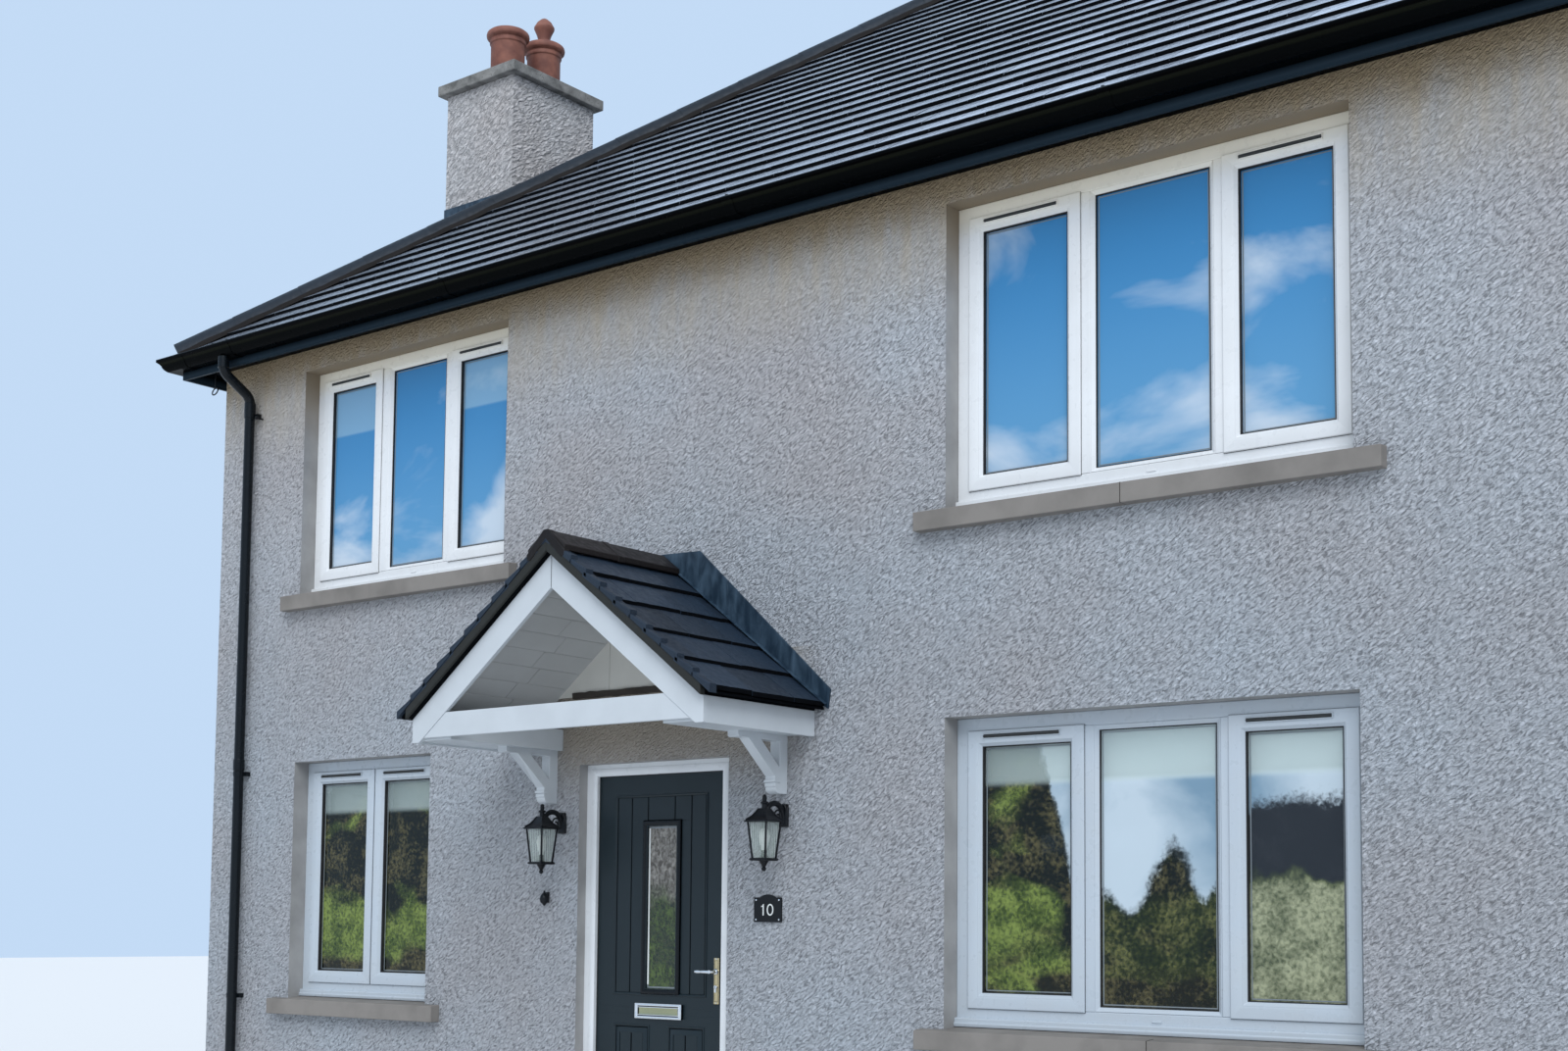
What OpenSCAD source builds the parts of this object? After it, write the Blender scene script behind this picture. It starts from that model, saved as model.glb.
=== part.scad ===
// Detached two-storey house: roughcast walls, hipped slate roof, gabled door canopy.
// X runs along the front wall, Y runs into the house and Z is up. The origin is on
// the ground. Lengths are millimetres, and depths count from the front wall's face.

/* [House] */
// Width of the front wall
house_w = 8600; // [8500:10:8800]
// Depth from the front wall's face to the rear wall's face
house_d = 7400; // [7300:10:7600]
// Thickness of the outer walls
wall_t = 300; // [280:10:340]
// Height of the soffit above the ground
soffit_z = 4823; // [4815:1:4840]
// Top of the ground floor
floor_z = 150; // [140:5:155]
// Underside of the first floor
ceiling_z = 2450; // [2420:10:2500]
// Thickness of the first floor
first_floor_t = 200; // [150:10:250]

/* [Roof] */
// Pitch of all four slopes in degrees
pitch = 37.5; // [36:0.5:39]
// Height of the slate surface straight above a wall's outer face
slate_wall_z = 5086; // [5070:1:5100]
// Slate overhang beyond the wall's face
slate_over = 240; // [230:1:250]
// Number of slate courses from eave to ridge
course_n = 25; // [22:1:28]
// Height of the step at the foot of each course
course_step = 13; // [8:1:16]
// Thickness of the roof, measured straight down
roof_t = 62; // [55:1:70]
// Height of the hip and ridge tiles above the slopes' meeting line
cap_rise = 62; // [50:1:75]

/* [Eaves] */
// Distance from the wall's face to the fascia's face
fascia_out = 189; // [180:1:200]
// Underside of the fascia
fascia_z = 4762; // [4750:1:4775]
// Distance from the wall's face to the gutter's front lip
gutter_out = 306; // [300:1:312]
// Top of the gutter's front lip
gutter_z = 4885; // [4880:1:4888]
// Height of the gutter
gutter_h = 76; // [70:1:80]
// Side of the square downpipe
pipe_w = 60; // [55:1:65]

/* [Windows] */
// Height of the upper windows' sill seat
upper_seat = 3305; // [3290:1:3320]
// Height of the upper left window's sill seat, which lies higher
upper_left_seat = 3360; // [3350:1:3370]
// Head of the upper windows
upper_head = 4698; // [4680:1:4705]
// Height of the lower windows' sill seat
lower_seat = 1003; // [990:1:1015]
// Head of the lower windows
lower_head = 2365; // [2350:1:2380]
// Depth from the wall's face to the window frames
recess = 100; // [90:1:110]
// Sill height at its back edge
sill_h = 100; // [90:1:110]
// Sill projection in front of the wall
sill_out = 62; // [50:1:70]

/* [Door] */
// Left side of the door opening
door_x0 = -1196; // [-1200:1:-1190]
// Right side of the door opening
door_x1 = -196; // [-200:1:-190]
// Head of the door opening
door_head = 2250; // [2240:1:2260]
// Depth from the wall's face to the door frame
door_recess = 60; // [55:1:65]
// Depth from the wall's face to the door leaf
leaf_y = 83; // [83:1:86]
// Height of the lever's pivot above the ground
lever_z = 1213; // [1205:1:1220]

/* [Canopy] */
// Middle of the canopy along the front wall
canopy_x = -625; // [-630:1:-620]
// Half the width between the canopy's side boards
canopy_half = 947; // [940:1:955]
// Distance from the wall's face to the barge boards' face
canopy_out = 794; // [785:1:800]
// Distance from the wall's face to the slates' front edge
verge_out = 838; // [830:1:845]
// Apex height of the barge boards
barge_apex = 3164; // [3155:1:3175]
// Apex height of the canopy's slates
slate_apex = 3247; // [3240:1:3255]
// Underside of the canopy's side beams
beam_z = 2318; // [2310:1:2325]

/* [Chimney] */
// Left side of the stack, from the left wall's face
stack_x = 450; // [440:1:460]
// Width of the stack along the front
stack_w = 630; // [620:1:640]
// Front of the stack, from the front wall's face
stack_y = 1347; // [1340:1:1360]
// Depth of the stack
stack_d = 739; // [730:1:745]
// Top of the stack's body
stack_z = 6927; // [6900:1:6950]

/* [Hidden] */
$fn = 48;

slate_grey = "#4a4f57";
render_grey = "#b3afab";
smooth_grey = "#a69e96";
anthracite = "#262a2e";
upvc_white = "#f1f2f3";
door_grey = "#2d373e";

half_w = house_w / 2;
// Y of the front wall's face, which centres the whole house on the origin
front_y = -(house_d + gutter_out - verge_out) / 2;
slope = tan(pitch);
course_run = (slate_over + house_d / 2) / course_n;
ridge_z = slate_wall_z + slope * house_d / 2;
ridge_half = (house_w - house_d) / 2;
stack_x0 = stack_x - half_w;
stack_x1 = stack_x0 + stack_w;
stack_y1 = stack_y + stack_d;

// Each window: left side, right side, sill seat, head, sill overhang, and the dividing
// bars as [start, end] from the left side
upper_left = [-3521, -1792, upper_left_seat, upper_head, 104, [[581, 648], [1132, 1182]]];
upper_right = [1049, 2944, upper_seat, upper_head, 135, [[630, 682], [1262, 1311]]];
lower_left = [-3523, -2339, lower_seat, lower_head, 120, [[600, 623]]];
lower_right = [1049, 2958, lower_seat, lower_head, 120, [[643, 694], [1276, 1322]]];
front_windows = [upper_left, upper_right, lower_left, lower_right];
side_upper = [-310, 310, upper_seat, upper_head, 100, []];
side_lower = [-310, 310, lower_seat, lower_head, 100, []];
// Distance of the side windows' middle from the front wall's face
side_window_y = 4700;

frame_d = 70;
// Left jamb, right jamb, head and bottom rail of the front windows' frames
jamb_w = 69;
narrow_jamb = 46;
head_w = 64;
bottom_rail = 88;
sash_w = 64;
bead_w = 20;
sash_proud = 10;
sash_lap = 6;
glass_t = 24;
glass_y = 24;

// Gap that keeps sloped faces of two parts from cutting into each other
slope_play = 0.5;

// Visible edges of the door opening inside its frame
frame_back = door_recess + frame_d;
leaf_gap = 5;
stop_x0 = door_x0 + 70;
stop_x1 = door_x1 - 88;
stop_head = door_head - 60;
leaf_t = 44;
leaf_x0 = stop_x0 - 8;
leaf_x1 = stop_x1 + 8;
leaf_z0 = floor_z + 31;
leaf_z1 = stop_head + 7;
leaf_mid = (stop_x0 + stop_x1) / 2;
lever_x = leaf_x1 - 48;
plate_z = 1010;

// Height of the slate surface at a distance inside the wall's face
function slate_z(t) = slate_wall_z + slope * t;
// Height of the roof's underside at the same distance
function under_z(t) = slate_z(t) - roof_t;
// Stepped upper outline of a slope, from its eave up to the ridge
function courses(start, run, n, z0, rise, step) = [
    for (i = [0 : n - 1], k = [0, 1])
        [start + (i + k) * run, z0 + (i + k) * rise - k * step]
];
// Plan of a long side's strip between two distances, cut at 45 degrees at its ends
function long_plan(out, inside) = [
    [-half_w - out, -out], [half_w + out, -out],
    [half_w - inside, inside], [-half_w + inside, inside]
];
// Plan of the left side's strip
function side_plan(out, inside) = [
    [-half_w - out, -out], [-half_w + inside, inside],
    [-half_w + inside, house_d - inside], [-half_w - out, house_d + out]
];
function canopy_slate_z(dx) = slate_apex - slope * dx;
function barge_z(dx) = barge_apex - slope * dx;

// A box from ranges in X, Y and Z, where Y counts from the front wall's face
module block(x, y, z) {
    translate([x[0], front_y + y[0], z[0]]) cube([x[1] - x[0], y[1] - y[0], z[1] - z[0]]);
}

// Draws a profile of depth and height, carried along X
module along_x(x0, x1) {
    translate([x0, front_y, 0]) rotate([90, 0, 90]) linear_extrude(x1 - x0) children();
}

// Draws a profile of X and height, carried along Y
module along_y(y0, y1) {
    translate([0, front_y + y1, 0]) rotate([90, 0, 0]) linear_extrude(y1 - y0) children();
}

// Draws a plan shape, carried up from one height to another
module upright(z0, z1) {
    translate([0, front_y, z0]) linear_extrude(z1 - z0) children();
}

// The same thing at the back of the house, turned half round
module at_rear() {
    translate([0, 2 * front_y + house_d, 0]) rotate([0, 0, 180]) children();
}

// The same thing at the right end of the house
module at_right() {
    mirror([1, 0, 0]) children();
}

// Room below the front and rear slopes
module below_slopes() {
    low = -slate_over;
    along_x(-half_w - slate_over, half_w + slate_over)
        polygon([[low, 0], [house_d - low, 0], [house_d - low, under_z(low)],
                 [house_d / 2, under_z(house_d / 2)], [low, under_z(low)]]);
}

// Room below the hip ends, with some play
module below_hips(play) {
    low = -slate_over;
    along_y(low, house_d - low)
        polygon([[-half_w + low, 0], [half_w - low, 0], [half_w - low, under_z(low) - play],
                 [0, under_z(half_w) - play], [-half_w + low, under_z(low) - play]]);
}

// The hole for one window, with the sill's bed
module window_hole(w) {
    block([w[0], w[1]], [-10, wall_t + 10], [w[2] - sill_h, w[3]]);
}

module window_holes() {
    for (w = front_windows) window_hole(w);
}

// Moves a front window to the left wall
module on_left_wall() {
    translate([-half_w, front_y + side_window_y, 0]) rotate([0, 0, -90])
        translate([0, -front_y, 0]) children();
}

module side_holes() {
    on_left_wall() window_hole(side_upper);
    on_left_wall() window_hole(side_lower);
}

module front_wall(x0, x1, z0) {
    corner_play = 2;
    color(render_grey) difference() {
        intersection() {
            block([x0, x1], [0, wall_t], [z0, slate_wall_z + wall_t]);
            below_slopes();
            below_hips(corner_play);
        }
        window_holes();
    }
}

module front_wall_left() front_wall(-half_w, door_x0, 0);

module front_wall_right() front_wall(door_x1, half_w, 0);

module front_wall_over_door() front_wall(door_x0, door_x1, door_head);

module rear_wall() at_rear() front_wall(-half_w, half_w, 0);

module left_wall() {
    color(render_grey) difference() {
        intersection() {
            block([-half_w, -half_w + wall_t], [wall_t, house_d - wall_t], [0, slate_wall_z + wall_t]);
            below_hips(slope_play);
        }
        side_holes();
    }
}

module right_wall() at_right() left_wall();

// Floor slabs fill the plan between the walls
module floor_slab(z0, z1) {
    inner = half_w - wall_t;
    block([-inner, inner], [wall_t, house_d - wall_t], [z0, z1]);
}

// The slab runs on through the doorway as its step
module ground_floor() color(smooth_grey) union() {
    floor_slab(0, floor_z);
    block([door_x0, door_x1], [0, wall_t], [0, floor_z]);
}

module first_floor() color("#c9b48f") difference() {
    floor_slab(ceiling_z, ceiling_z + first_floor_t);
    stack_body();
}

// A slope's section from its eave to the ridge, with a step at each course
module slope_section() {
    top = courses(-slate_over, course_run, course_n, slate_z(-slate_over), course_run * slope, course_step);
    polygon(concat([[-slate_over, under_z(-slate_over)]], top, [[house_d / 2, under_z(house_d / 2)]]));
}

module roof_front() color(slate_grey) intersection() {
    along_x(-half_w - slate_over, half_w + slate_over) slope_section();
    upright(0, ridge_z) polygon(long_plan(slate_over, house_d / 2));
}

module roof_rear() at_rear() roof_front();

// The slope over the left wall
module hip_slope() intersection() {
    along_y(-slate_over, house_d + slate_over) translate([-half_w, 0]) slope_section();
    upright(0, ridge_z) polygon([[-half_w - slate_over, -slate_over], [-half_w + house_d / 2, house_d / 2],
                                 [-half_w - slate_over, house_d + slate_over]]);
}

module roof_hip_ends() color(slate_grey) {
    difference() {
        hip_slope();
        stack_body();
    }
    at_right() hip_slope();
}

// Section of a barrel-topped tile that sits over two slopes falling at an angle
cap_r = 130;
module cap_section(fall) {
    reach = cap_r * 2;
    difference() {
        translate([0, cap_rise - cap_r]) circle(cap_r);
        polygon([[0, 0], [reach, -reach * tan(fall)], [reach, -reach * 2], [-reach, -reach * 2],
                 [-reach, -reach * tan(fall)]]);
    }
}

// One hip run, from the front left corner up to the ridge's end
module hip_run() {
    run = house_d / 2 + slate_over;
    climb = atan(slope / sqrt(2));
    length = sqrt(2) * run / cos(climb);
    // Fall of each slope to the side of the hip line, in the section square to it
    fall = acos(cos(pitch) / cos(climb));
    intersection() {
        translate([-half_w - slate_over, front_y - slate_over, slate_z(-slate_over)])
            rotate([0, 0, 45]) rotate([0, 90 - climb, 0]) rotate([0, 0, -90]) rotate([0, 0, 180])
                linear_extrude(length + 200) cap_section(fall);
        upright(4000, ridge_z + 200)
            polygon([[-half_w - slate_over, -slate_over], [-ridge_half - 1, -slate_over],
                     [-ridge_half - 1, house_d / 2 - 1], [-half_w - slate_over, house_d / 2 - 1]]);
    }
}

module hip_and_ridge_tiles() color(slate_grey) {
    hip_run();
    at_right() hip_run();
    at_rear() hip_run();
    at_rear() at_right() hip_run();
    translate([-ridge_half, front_y + house_d / 2, ridge_z]) rotate([90, 0, 90])
        linear_extrude(2 * ridge_half) cap_section(pitch);
}

// Fascia and soffit boards of one side, as depth and height
module eaves_section() {
    board = 20;
    back = board - fascia_out;
    soffit_t = 12;
    polygon([[-fascia_out, fascia_z], [back, fascia_z], [back, soffit_z], [0, soffit_z],
             [0, soffit_z + soffit_t], [back, soffit_z + soffit_t], [back, under_z(back) - slope_play],
             [-fascia_out, under_z(-fascia_out) - slope_play]]);
}

module front_eaves() intersection() {
    along_x(-half_w - fascia_out, half_w + fascia_out) eaves_section();
    upright(4000, 6000) polygon(long_plan(fascia_out, 0));
}

module left_eaves() intersection() {
    along_y(-fascia_out, house_d + fascia_out) translate([-half_w, 0]) eaves_section();
    upright(4000, 6000) polygon(side_plan(fascia_out, 0));
}

module eaves_boards() color(anthracite) {
    front_eaves();
    at_rear() front_eaves();
    left_eaves();
    at_right() left_eaves();
}

// Outline of the gutter: an ogee front under a square lip, and a flat bottom and back
gutter_lip = 16;
gutter_base = gutter_z - gutter_h;
gutter_back_z = gutter_z - 40;
gutter_foot = 52;
function ogee(n) = [
    for (i = [0 : n])
        let (s = i / n)
        [-gutter_out + gutter_foot * (s + 0.55 * sin(360 * s) / 6.283),
         gutter_z - gutter_lip - (gutter_h - gutter_lip) * s]
];

module gutter_section() {
    wall = 5;
    outline = concat([[-gutter_out, gutter_z]], ogee(8),
                     [[-fascia_out, gutter_base], [-fascia_out, gutter_z]]);
    difference() {
        polygon(outline);
        offset(delta = -wall) polygon(outline);
        translate([-gutter_out + wall, gutter_z - wall * 2])
            square([gutter_out - fascia_out - 2 * wall, wall * 3]);
        translate([-fascia_out - wall * 2, gutter_back_z]) square([wall * 3, gutter_h]);
    }
}

module front_gutter() intersection() {
    along_x(-half_w - gutter_out, half_w + gutter_out) gutter_section();
    upright(4000, 6000) polygon(long_plan(gutter_out, -fascia_out));
}

module left_gutter() intersection() {
    along_y(-gutter_out, house_d + gutter_out) translate([-half_w, 0]) gutter_section();
    upright(4000, 6000) polygon(side_plan(gutter_out, -fascia_out));
}

module long_gutters() color(anthracite) {
    front_gutter();
    at_rear() front_gutter();
}

module side_gutters() color(anthracite) {
    left_gutter();
    at_right() left_gutter();
}

// Square downpipe with a swan neck back to the wall, three clips and a shoe
pipe_x = -3982;
module downpipe() {
    stand_off = 20;
    top_y = -250;
    low_y = -stand_off - pipe_w / 2;
    h = pipe_w / 2;
    bend_z = 4730;
    lower_z = 4600;
    shoe_z = 150;
    clip_zs = [995, 2312, 4490];
    along_x(pipe_x - h, pipe_x + h)
        polygon([[top_y - h, gutter_base], [top_y - h, bend_z - h / 2], [low_y - h, lower_z - h / 2],
                 [low_y - h, shoe_z], [low_y - h - 70, shoe_z - 70], [low_y - h - 70, shoe_z - 130],
                 [low_y + h, shoe_z - 40], [low_y + h, lower_z + h / 2], [top_y + h, bend_z + h / 2],
                 [top_y + h, gutter_base]]);
    for (z = clip_zs)
        block([pipe_x - h - 8, pipe_x + h + 8], [low_y - h - 4, 0], [z - 18, z + 18]);
}

module downpipes() color(anthracite) {
    downpipe();
    at_rear() downpipe();
}

module stack_body() block([stack_x0, stack_x1], [stack_y, stack_y1], [floor_z, stack_z]);

module chimney_stack() color(render_grey) stack_body();

// Cast cap in two steps, as [overhang beyond the stack, top above the stack]
cap_steps = [[48, 70], [-26, 92]];
cap_t = cap_steps[1][1];
module chimney_cap() color(smooth_grey) union() {
    for (s = cap_steps)
        block([stack_x0 - s[0], stack_x1 + s[0]], [stack_y - s[0], stack_y1 + s[0]],
              [stack_z, stack_z + s[1]]);
}

// Lead round the stack: a skirt on the slates, a band up each face that follows the
// slope, and a level sheet up the front face behind the hip
module chimney_flashing() {
    lead = 6;
    apron = 130;
    skirt = 70;
    hip_clear = 200;
    band = 120;
    sheet_z = 6153;
    x_in = stack_x0 - lead;
    x_out = stack_x1 + lead;
    function lead_z(x) = slate_z(x + half_w);
    module slope_strip(x_low, x_high, t)
        polygon([[x_low, lead_z(x_low)], [x_high, lead_z(x_high)], [x_high, lead_z(x_high) + t],
                 [x_low, lead_z(x_low) + t]]);
    color("#55616d") difference() {
        union() {
            along_y(stack_y - lead, stack_y1 + lead) slope_strip(x_in, x_out, band);
            intersection() {
                along_y(stack_y - skirt, stack_y1 + apron)
                    slope_strip(stack_x0 - apron, stack_x1 + apron, lead);
                upright(0, ridge_z)
                    polygon([[-half_w, hip_clear], [-half_w + house_d / 2, hip_clear + house_d / 2],
                             [-half_w, hip_clear + house_d / 2]]);
            }
            along_y(stack_y - lead, stack_y)
                polygon([[x_in, lead_z(x_in)], [x_out, lead_z(x_out)], [x_out, sheet_z], [x_in, sheet_z]]);
        }
        stack_body();
    }
}

// Outside of a clay pot: a straight body, a collar and a rolled rim
pot_r = 113;
pot_wall = 20;
function pot_outside(h) = [
    [pot_r, 0], [pot_r, h - 92], [pot_r + 8, h - 86], [pot_r + 8, h - 64], [pot_r + 4, h - 56],
    [pot_r + 18, h - 52], [pot_r + 28, h - 42], [pot_r + 30, h - 27], [pot_r + 26, h - 12],
    [pot_r + 14, h - 2]
];

module chimney_pot(h) rotate_extrude()
    polygon(concat([[pot_r - pot_wall, 0]], pot_outside(h), [[pot_r, h], [pot_r - pot_wall, h - 10]]));

// The same pot under a cowl: a neck that flares out to a domed head
module cowled_pot(h) {
    neck_r = 41;
    neck_bore = 34;
    rotate_extrude() polygon(concat(
        [[pot_r - pot_wall, 0]], pot_outside(h),
        [[pot_r, h], [neck_r, h + 6], [neck_r, h + 52], [neck_r + 10, h + 84], [neck_r + 28, h + 122],
         [neck_r + 28, h + 134], [neck_r + 8, h + 168], [neck_r - 16, h + 190], [8, h + 200], [8, h + 130],
         [neck_bore, h + 90], [neck_bore, h - 12], [pot_r - pot_wall, h - 24]]));
}

// Middles of the pots, in X and from the front wall's face
pot_x = stack_x0 + stack_w / 2;
front_pot_y = 1585;
cowled_pot_y = 1917;
module on_cap(y) translate([pot_x, front_y + y, stack_z + cap_t]) children();

module chimney_pots() color("#a4604d") {
    on_cap(front_pot_y) chimney_pot(350);
    on_cap(cowled_pot_y) cowled_pot(376);
}

// The lights of a window as [start, end] in X. Three lights have a fixed one in the middle
function light_count(w) = len(w[5]) + 1;
function lights(w) = [
    for (i = [0 : len(w[5])]) [
        i == 0 ? w[0] + jamb_w : w[0] + w[5][i - 1][1],
        i == len(w[5]) ? w[1] - (i == 0 ? jamb_w : narrow_jamb) : w[0] + w[5][i][0]
    ]
];
function opens(w, i) = i != 1 || light_count(w) == 2;
// Border of one light between the frame's opening and the glass
function border(w, i) = opens(w, i) ? sash_w : bead_w;

// Window frame with dividing bars and its casements, as one joined frame
module window_frame(w) {
    z0 = w[2] + bottom_rail;
    z1 = w[3] - head_w;
    color(upvc_white) difference() {
        union() {
            block([w[0], w[1]], [recess, recess + frame_d], [w[2], w[3]]);
            for (i = [0 : light_count(w) - 1]) if (opens(w, i))
                block(lights(w)[i] + [-sash_lap, sash_lap], [recess - sash_proud, recess + sash_proud],
                      [z0 - sash_lap, z1 + sash_lap]);
        }
        for (i = [0 : light_count(w) - 1])
            block(lights(w)[i] + border(w, i) * [1, -1], [0, wall_t], [z0 + border(w, i), z1 - border(w, i)]);
    }
}

// Glass of one window, held in the frame's lights
module panes(w) {
    for (i = [0 : light_count(w) - 1])
        block(lights(w)[i] + border(w, i) * [1, -1], [recess + glass_y, recess + glass_y + glass_t],
              [w[2] + bottom_rail + border(w, i), w[3] - head_w - border(w, i)]);
}

// Stone sill: sloped on top, wider in front of the wall than in the opening
module sill(w) {
    fall = 14;
    front_top = w[2] - fall;
    wall_top = front_top + fall * sill_out / (sill_out + recess);
    along_x(w[0] - w[4], w[1] + w[4])
        polygon([[-sill_out, w[2] - sill_h], [0, w[2] - sill_h], [0, wall_top], [-sill_out, front_top]]);
    along_x(w[0], w[1])
        polygon([[0, w[2] - sill_h], [wall_t, w[2] - sill_h], [wall_t, w[2]], [recess, w[2]], [0, wall_top]]);
}

module upper_windows() for (w = [upper_left, upper_right]) window_frame(w);

module lower_windows() for (w = [lower_left, lower_right]) window_frame(w);

module rear_windows() at_rear() for (w = front_windows) window_frame(w);

module side_windows() {
    for (w = [side_upper, side_lower]) {
        on_left_wall() window_frame(w);
        at_right() on_left_wall() window_frame(w);
    }
}

module window_glass() color("#9fc4e0", 0.5) {
    for (w = front_windows) {
        panes(w);
        at_rear() panes(w);
    }
    for (w = [side_upper, side_lower]) {
        on_left_wall() panes(w);
        at_right() on_left_wall() panes(w);
    }
}

module window_sills() color(smooth_grey) {
    for (w = front_windows) {
        sill(w);
        at_rear() sill(w);
    }
    for (w = [side_upper, side_lower]) {
        on_left_wall() sill(w);
        at_right() on_left_wall() sill(w);
    }
}

// Butt hinges on the inner face: a knuckle with a pin hole on the leaf, between two knuckles
// with the pin on the frame
hinge_x = leaf_x0 - 2;
hinge_y = leaf_y + leaf_t + 13;
hinge_r = 7;
hinge_pin_r = 4;
hinge_knuckle = 34;
hinge_gap = 1;
hinge_zs = [400, 1190, 1950];
module hinge_rod(r, z0, z1) translate([hinge_x, front_y + hinge_y, z0]) cylinder(r = r, h = z1 - z0);

module leaf_knuckle(z) {
    z0 = z + hinge_knuckle + hinge_gap;
    z1 = z0 + hinge_knuckle;
    difference() {
        union() {
            hinge_rod(hinge_r, z0, z1);
            block([hinge_x, hinge_x + 30], [leaf_y + leaf_t - 1, hinge_y - 4], [z0, z1]);
        }
        hinge_rod(hinge_pin_r + 0.5, z0 - 1, z1 + 1);
    }
}

module frame_knuckles(z) {
    z2 = z + 2 * (hinge_knuckle + hinge_gap);
    for (z0 = [z, z2]) {
        hinge_rod(hinge_r, z0, z0 + hinge_knuckle);
        block([hinge_x - 30, hinge_x], [frame_back - 2, hinge_y - 4], [z0, z0 + hinge_knuckle]);
    }
    hinge_rod(hinge_pin_r, z, z2 + hinge_knuckle);
}

// Jambs and head of the door frame, with a stop in front of a wider rebate
module door_frame() {
    stop_back = leaf_y - leaf_gap;
    rebate = 6;
    swing_gap = 8;
    color(upvc_white) union() {
        difference() {
            block([door_x0, door_x1], [door_recess, frame_back], [floor_z, door_head]);
            block([stop_x0, stop_x1], [0, wall_t], [floor_z - 1, stop_head]);
            block([leaf_x0 - rebate, leaf_x1 + swing_gap], [stop_back, wall_t],
                  [floor_z - 1, leaf_z1 + rebate]);
        }
        for (z = hinge_zs) frame_knuckles(z);
    }
}

threshold_h = 25;
module door_threshold() color("#c8ccd0")
    block([stop_x0, stop_x1], [door_recess, frame_back], [floor_z, floor_z + threshold_h]);

// Letter slot
plate_x = leaf_mid + 9;
slot_w = 236;
slot_h = 34;
slot_x = [plate_x - slot_w / 2, plate_x + slot_w / 2];
slot_z = [plate_z - slot_h / 2, plate_z + slot_h / 2];
// Glazed strip of the leaf
strip_x = leaf_mid + 10;
strip_w = 196;
strip_z0 = 1120;
strip_z1 = 1930;
module spindle_hole()
    translate([lever_x, front_y, lever_z]) rotate([-90, 0, 0]) cylinder(r = 9, h = wall_t);

leaf_depths = [leaf_y, leaf_y + leaf_t];
// The rail at the height of the slot, on each side of it
module letter_rail() color(door_grey) {
    block([leaf_x0, slot_x[0]], leaf_depths, slot_z);
    block([slot_x[1], leaf_x1], leaf_depths, slot_z);
}

// The leaf above and below the slot: a recessed field round the glass, and two raised panels
module door_leaf() {
    relief = 5;
    field_half = 307;
    field_z = [1090, 2085];
    panel_z = [330, 938];
    panel_x = 180;
    panel_half = 118;
    raised_half = 82;
    border_w = panel_half - raised_half;
    bead = 28;
    bead_proud = 4;
    color(door_grey) difference() {
        union() {
            difference() {
                block([leaf_x0, leaf_x1], leaf_depths, [leaf_z0, leaf_z1]);
                block([leaf_mid - field_half, leaf_mid + field_half], [0, leaf_y + relief], field_z);
                for (x = [leaf_mid - panel_x, leaf_mid + panel_x])
                    block([x - panel_half, x + panel_half], [0, leaf_y + relief], panel_z);
            }
            for (x = [leaf_mid - panel_x, leaf_mid + panel_x])
                block([x - raised_half, x + raised_half], [leaf_y + 1, leaf_y + leaf_t / 2],
                      panel_z + border_w * [1, -1]);
            block([strip_x - strip_w / 2 - bead, strip_x + strip_w / 2 + bead],
                  [leaf_y - bead_proud, leaf_y + leaf_t / 2], [strip_z0 - bead, strip_z1 + bead]);
            for (z = hinge_zs) leaf_knuckle(z);
        }
        block([strip_x - strip_w / 2, strip_x + strip_w / 2], [0, wall_t], [strip_z0, strip_z1]);
        block([leaf_x0 - 1, leaf_x1 + 1], [0, wall_t], slot_z);
        spindle_hole();
    }
}

module door_glass() color("#b9c4c4", 0.5)
    block([strip_x - strip_w / 2, strip_x + strip_w / 2], [leaf_y + 10, leaf_y + 34], [strip_z0, strip_z1]);

// Letter plate: a border round a pocket, with the slot through the pocket's floor
plate_t = 16;
plate_w = 308;
plate_h = 74;
pocket_w = 268;
pocket_h = 56;
pocket_floor = 5;
flap_t = 3;
flap_pin_r = 2;
flap_z = plate_z + 18;
flap_y = leaf_y - 2 * pocket_floor - flap_t / 2;
module letter_plate() {
    color("#c8ccd0") difference() {
        block([plate_x - plate_w / 2, plate_x + plate_w / 2], [leaf_y - plate_t, leaf_y],
              [plate_z - plate_h / 2, plate_z + plate_h / 2]);
        block([plate_x - pocket_w / 2, plate_x + pocket_w / 2], [0, leaf_y - pocket_floor],
              [plate_z - pocket_h / 2, plate_z + pocket_h / 2]);
        block(slot_x, [0, wall_t], slot_z);
        translate([plate_x - pocket_w / 2 - 7, front_y + flap_y, flap_z]) rotate([0, 90, 0])
            cylinder(r = flap_pin_r + 0.5, h = pocket_w + 14);
    }
}

module letter_flap() {
    flap_w = pocket_w - 10;
    color("#b9a15a") union() {
        block([plate_x - flap_w / 2, plate_x + flap_w / 2], [flap_y - flap_t / 2, flap_y + flap_t / 2],
              [plate_z - 22, flap_z + 4]);
        translate([plate_x - pocket_w / 2 - 5, front_y + flap_y, flap_z]) rotate([0, 90, 0])
            cylinder(r = flap_pin_r, h = pocket_w + 10);
    }
}

// Long plates on both faces of the leaf, and a lever each side on one spindle
module handle_plates() {
    backplate_t = 8;
    backplate_w = 34;
    backplate_z = [1057, 1280];
    color("#b89b5e") difference() {
        for (y = [leaf_y - backplate_t, leaf_y + leaf_t])
            block([lever_x - backplate_w / 2, lever_x + backplate_w / 2], [y, y + backplate_t], backplate_z);
        spindle_hole();
    }
}

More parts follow.
